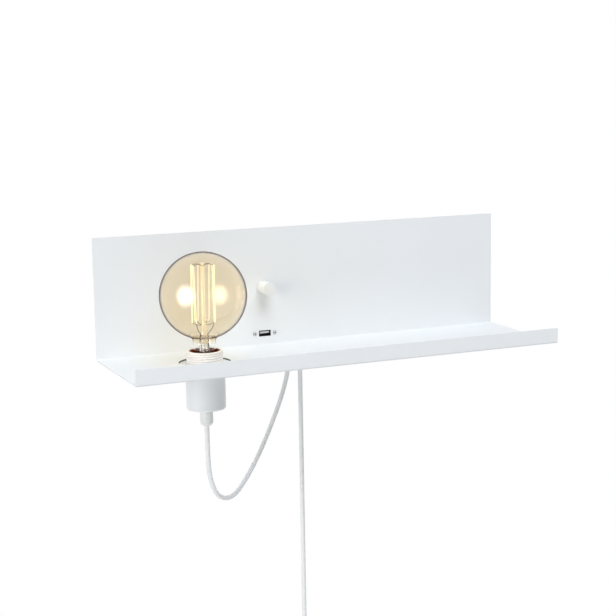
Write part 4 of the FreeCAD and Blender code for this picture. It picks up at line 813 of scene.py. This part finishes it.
filament = grown("coiled_filament", guide, winding, winding_sizes)
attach(filament, "bulb")
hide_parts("filament")

dark_wire = surface("dark_support_wire", linear(48, 32, 20), roughness=0.7, grain=0.0005, shade=0.2,
                    relief=0.000003)
dress(dark_wire, "filament_supports", "lead_wires")
for side in (-1, 1):
    lead_tail = closed_mesh("lead_tail", "bulb", dark_wire, turned_shape(
        [Vector((0, 4)), Vector((0.3, 4)), Vector((0.3, 29)), Vector((0, 29))],
        (holder[0] + side * 0.0035, holder[1], holder[2]), around=10))

# ---------------------------------------------------------------- dimmer
# A plain white knob on a plated steel shaft; its nut and bush clamp the switch body behind
# the panel, next to the small board that carries the dimmer's parts.
dimmer = (-0.0515, -0.028, -0.018)
knob_white = surface("white_knob", linear(238, 239, 239), roughness=0.32, grain=0.0013, shade=0.012,
                     relief=0.000003)
knob_line = eased([(0, 21), (7.5, 21, 0.9), (7.5, 1, 0.25), (6.3, 1), (6.3, 6.3), (3.02, 6.3),
                   (3.02, 15.5), (0, 15.5)], steps=7)
dimmer_knob = closed_mesh("turning_knob", "knob", knob_white,
                          turned_shape(knob_line, dimmer, facing="room"))
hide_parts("dimmer_knob")
dark_moulding = surface("dark_moulding", linear(34, 34, 36), roughness=0.48, grain=0.0008,
                        shade=0.2, relief=0.000006)
laminate = surface("green_laminate", linear(42, 104, 66), roughness=0.35, grain=0.0006, shade=0.18,
                   relief=0.000005, stretch=(1, 1, 3))
copper_wire = surface("enamelled_copper", linear(168, 98, 58), roughness=0.3, grain=0.0006,
                      shade=0.3, relief=0.00002, metal=1.0)
yellow_case = surface("yellow_case", linear(206, 168, 62), roughness=0.4, grain=0.0007, shade=0.08,
                      relief=0.000005)
dress(screw_steel, "dimmer_shaft", "dimmer_nut")
dress(brass, "dimmer_bush")
dress(dark_moulding, "dimmer_case", "dimmer_triac")
dress(laminate, "dimmer_board")
dress(copper_wire, "dimmer_choke")
dress(yellow_case, "dimmer_capacitor")
dress(clear_glass("clear_fuse_glass"), "dimmer_fuse")

# ---------------------------------------------------------------- charging port
# A flat socket behind a plain cut-out: a black bezel, a steel shell painted near black as painted
# shade inside the port, a white tongue with four gilt contacts, and a small plated screw each
# side, whose cross recess is painted dark as shade.
black_bezel = surface("black_bezel", linear(16, 16, 17), roughness=0.5, grain=0.0007, shade=0.25,
                      relief=0.000006)
# The steel shell is painted near black: painted shade for the inside of the port.
shell_painted_shade = surface("steel_shell_painted_shade", linear(38, 38, 40), roughness=0.5, grain=0.0009, shade=0.1,
                     relief=0.000003, metal=0.6)
white_moulding = surface("white_moulding", linear(240, 241, 241), roughness=0.38, grain=0.0010,
                         shade=0.012, relief=0.000004)
gilt = surface("gilt_contacts", linear(228, 184, 96), roughness=0.22, grain=0.0006, shade=0.08,
               relief=0.000002, metal=1.0)
dress(black_bezel, "port_bezel")
dress(shell_painted_shade, "port_shell")
dress(white_moulding, "port_tongue")
dress(gilt, "port_contacts")
dress(laminate, "port_board")
dress(yellow_case, "port_converter")
# The cross recess of each port screw is painted near black by its depth: painted shade in the
# recess.
recess_low, recess_high = -0.02872, -0.02858
steel_with_painted_recess_shade = surface("screws_painted_recess_shade", linear(228, 228, 227), roughness=0.32, grain=0.0008,
                         shade=0.04, relief=0.000003, metal=0.3)
screw_depth = add_node(steel_with_painted_recess_shade.node_tree, "ShaderNodeSeparateXYZ", {
    0: steel_with_painted_recess_shade.node_tree.nodes["Texture Coordinate"].outputs["Object"]})
painted_recess_shade = add_node(steel_with_painted_recess_shade.node_tree, "ShaderNodeMapRange", {
    "Value": screw_depth.outputs["Y"], "From Min": recess_low, "From Max": recess_high})
lay_over(steel_with_painted_recess_shade, painted_recess_shade.outputs[0], linear(12, 12, 13))
port_screws = repeated("port_screw_pair", "root", steel_with_painted_recess_shade,
                       cross_screw(head=2.3, height=1.2, shank=1.1, length=6,
                                   facing="room", thread=0.45),
                       [(-0.0628, -0.028, -0.0724), (-0.0382, -0.028, -0.0724)], turns=0.6)
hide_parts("port_screws")

# ---------------------------------------------------------------- wiring in the housing
# A white terminal block with steel screws, a black cord clamp with its own screw, and the
# ends of both cords with their brown and blue cores.
brown_core = surface("brown_core", linear(112, 66, 38), roughness=0.45, grain=0.0012, shade=0.05,
                     relief=0.000003)
blue_core = surface("blue_core", linear(48, 92, 170), roughness=0.45, grain=0.0012, shade=0.05,
                    relief=0.000003)
dress(white_moulding, "terminal_block")
dress(screw_steel, "terminal_screws", "clamp_screw")
dress(dark_moulding, "clamp_base", "clamp_bar")
dress(cord_sheath, "inner_cord_ends")
dress(brown_core, "live_wires")
dress(blue_core, "neutral_wires")

# ---------------------------------------------------------------- tie and plug
# A black hook-and-loop tie holds the coil; the cord ends in a flat white two-pin plug with a
# ribbed strain relief and two plated pins.
tie_cloth = surface("hook_and_loop_cloth", linear(32, 32, 34), roughness=0.85, grain=0.0005,
                    shade=0.35, relief=0.00006)
tinned = surface("tinned_brass_pins", linear(150, 151, 154), roughness=0.3, grain=0.0009, shade=0.1,
                 relief=0.000003, metal=1.0)
dress(tie_cloth, "cord_tie")
dress(tinned, "plug_pins")
plug_top = (0.034343, -0.03185, -0.565811)
rib_step, rib_growth = 4, 0.35
relief_line = [Vector((2.72, 0)), Vector((2.72, 20))] + eased(
    [(3.3, 20, 0.3)] + sum([[(3.6 + rib_growth * rib, 18.5 - rib_step * rib, 0.25),
                             (3.6 + rib_growth * rib, 15.7 - rib_step * rib, 0.25),
                             (2.9 + rib_growth * rib, 15.7 - rib_step * rib),
                             (2.9 + rib_growth * rib, 14.5 - rib_step * rib)]
                            for rib in range(4)], [])
    + [(4.6, 0), (2.72, 0)], steps=4)[:-1]
strain_relief = closed_mesh("ribbed_strain_relief", "root", nylon,
                            turned_shape(relief_line, plug_top, around=64))
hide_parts("plug_strain_relief")
plug_side = eased([(-6, 0, 1), (-17.6, -15, 4), (-17.6, -30, 2.5), (-13.5, -36, 1.2),
                   (13.5, -36, 1.2), (17.6, -30, 2.5), (17.6, -15, 4), (6, 0, 1)], steps=6)
plug_half, plug_easing, eased_share = 6.85, 1.8, 0.28
plug_middle, slices_each_way = -18, 8


def plug_shape(shape):
    """The plug's outline in several slices through its thickness, smaller at both faces."""
    slices = []
    for number in range(-slices_each_way, slices_each_way + 1):
        depth = number / slices_each_way
        past_flat = max(abs(depth) - (1 - eased_share), 0) ** 2 / eased_share ** 2
        inset = plug_easing * (1 - math.sqrt(max(1 - past_flat, 0)))
        slices.append([shape.verts.new(Vector(plug_top) + Vector((
            (corner.x - math.copysign(min(inset, abs(corner.x)), corner.x)) / 1000,
            plug_half * depth / 1000,
            (corner.y + (inset if corner.y < plug_middle else -inset)) / 1000)))
            for corner in plug_side])
    for ring, after in zip(slices, slices[1:]):
        for step in range(len(ring)):
            shape.faces.new([ring[step], ring[(step + 1) % len(ring)],
                             after[(step + 1) % len(ring)], after[step]])
    shape.faces.new(slices[0])
    shape.faces.new(list(reversed(slices[-1])))


plug_body = closed_mesh("moulded_plug", "root", white_moulding, plug_shape)
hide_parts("plug_body")
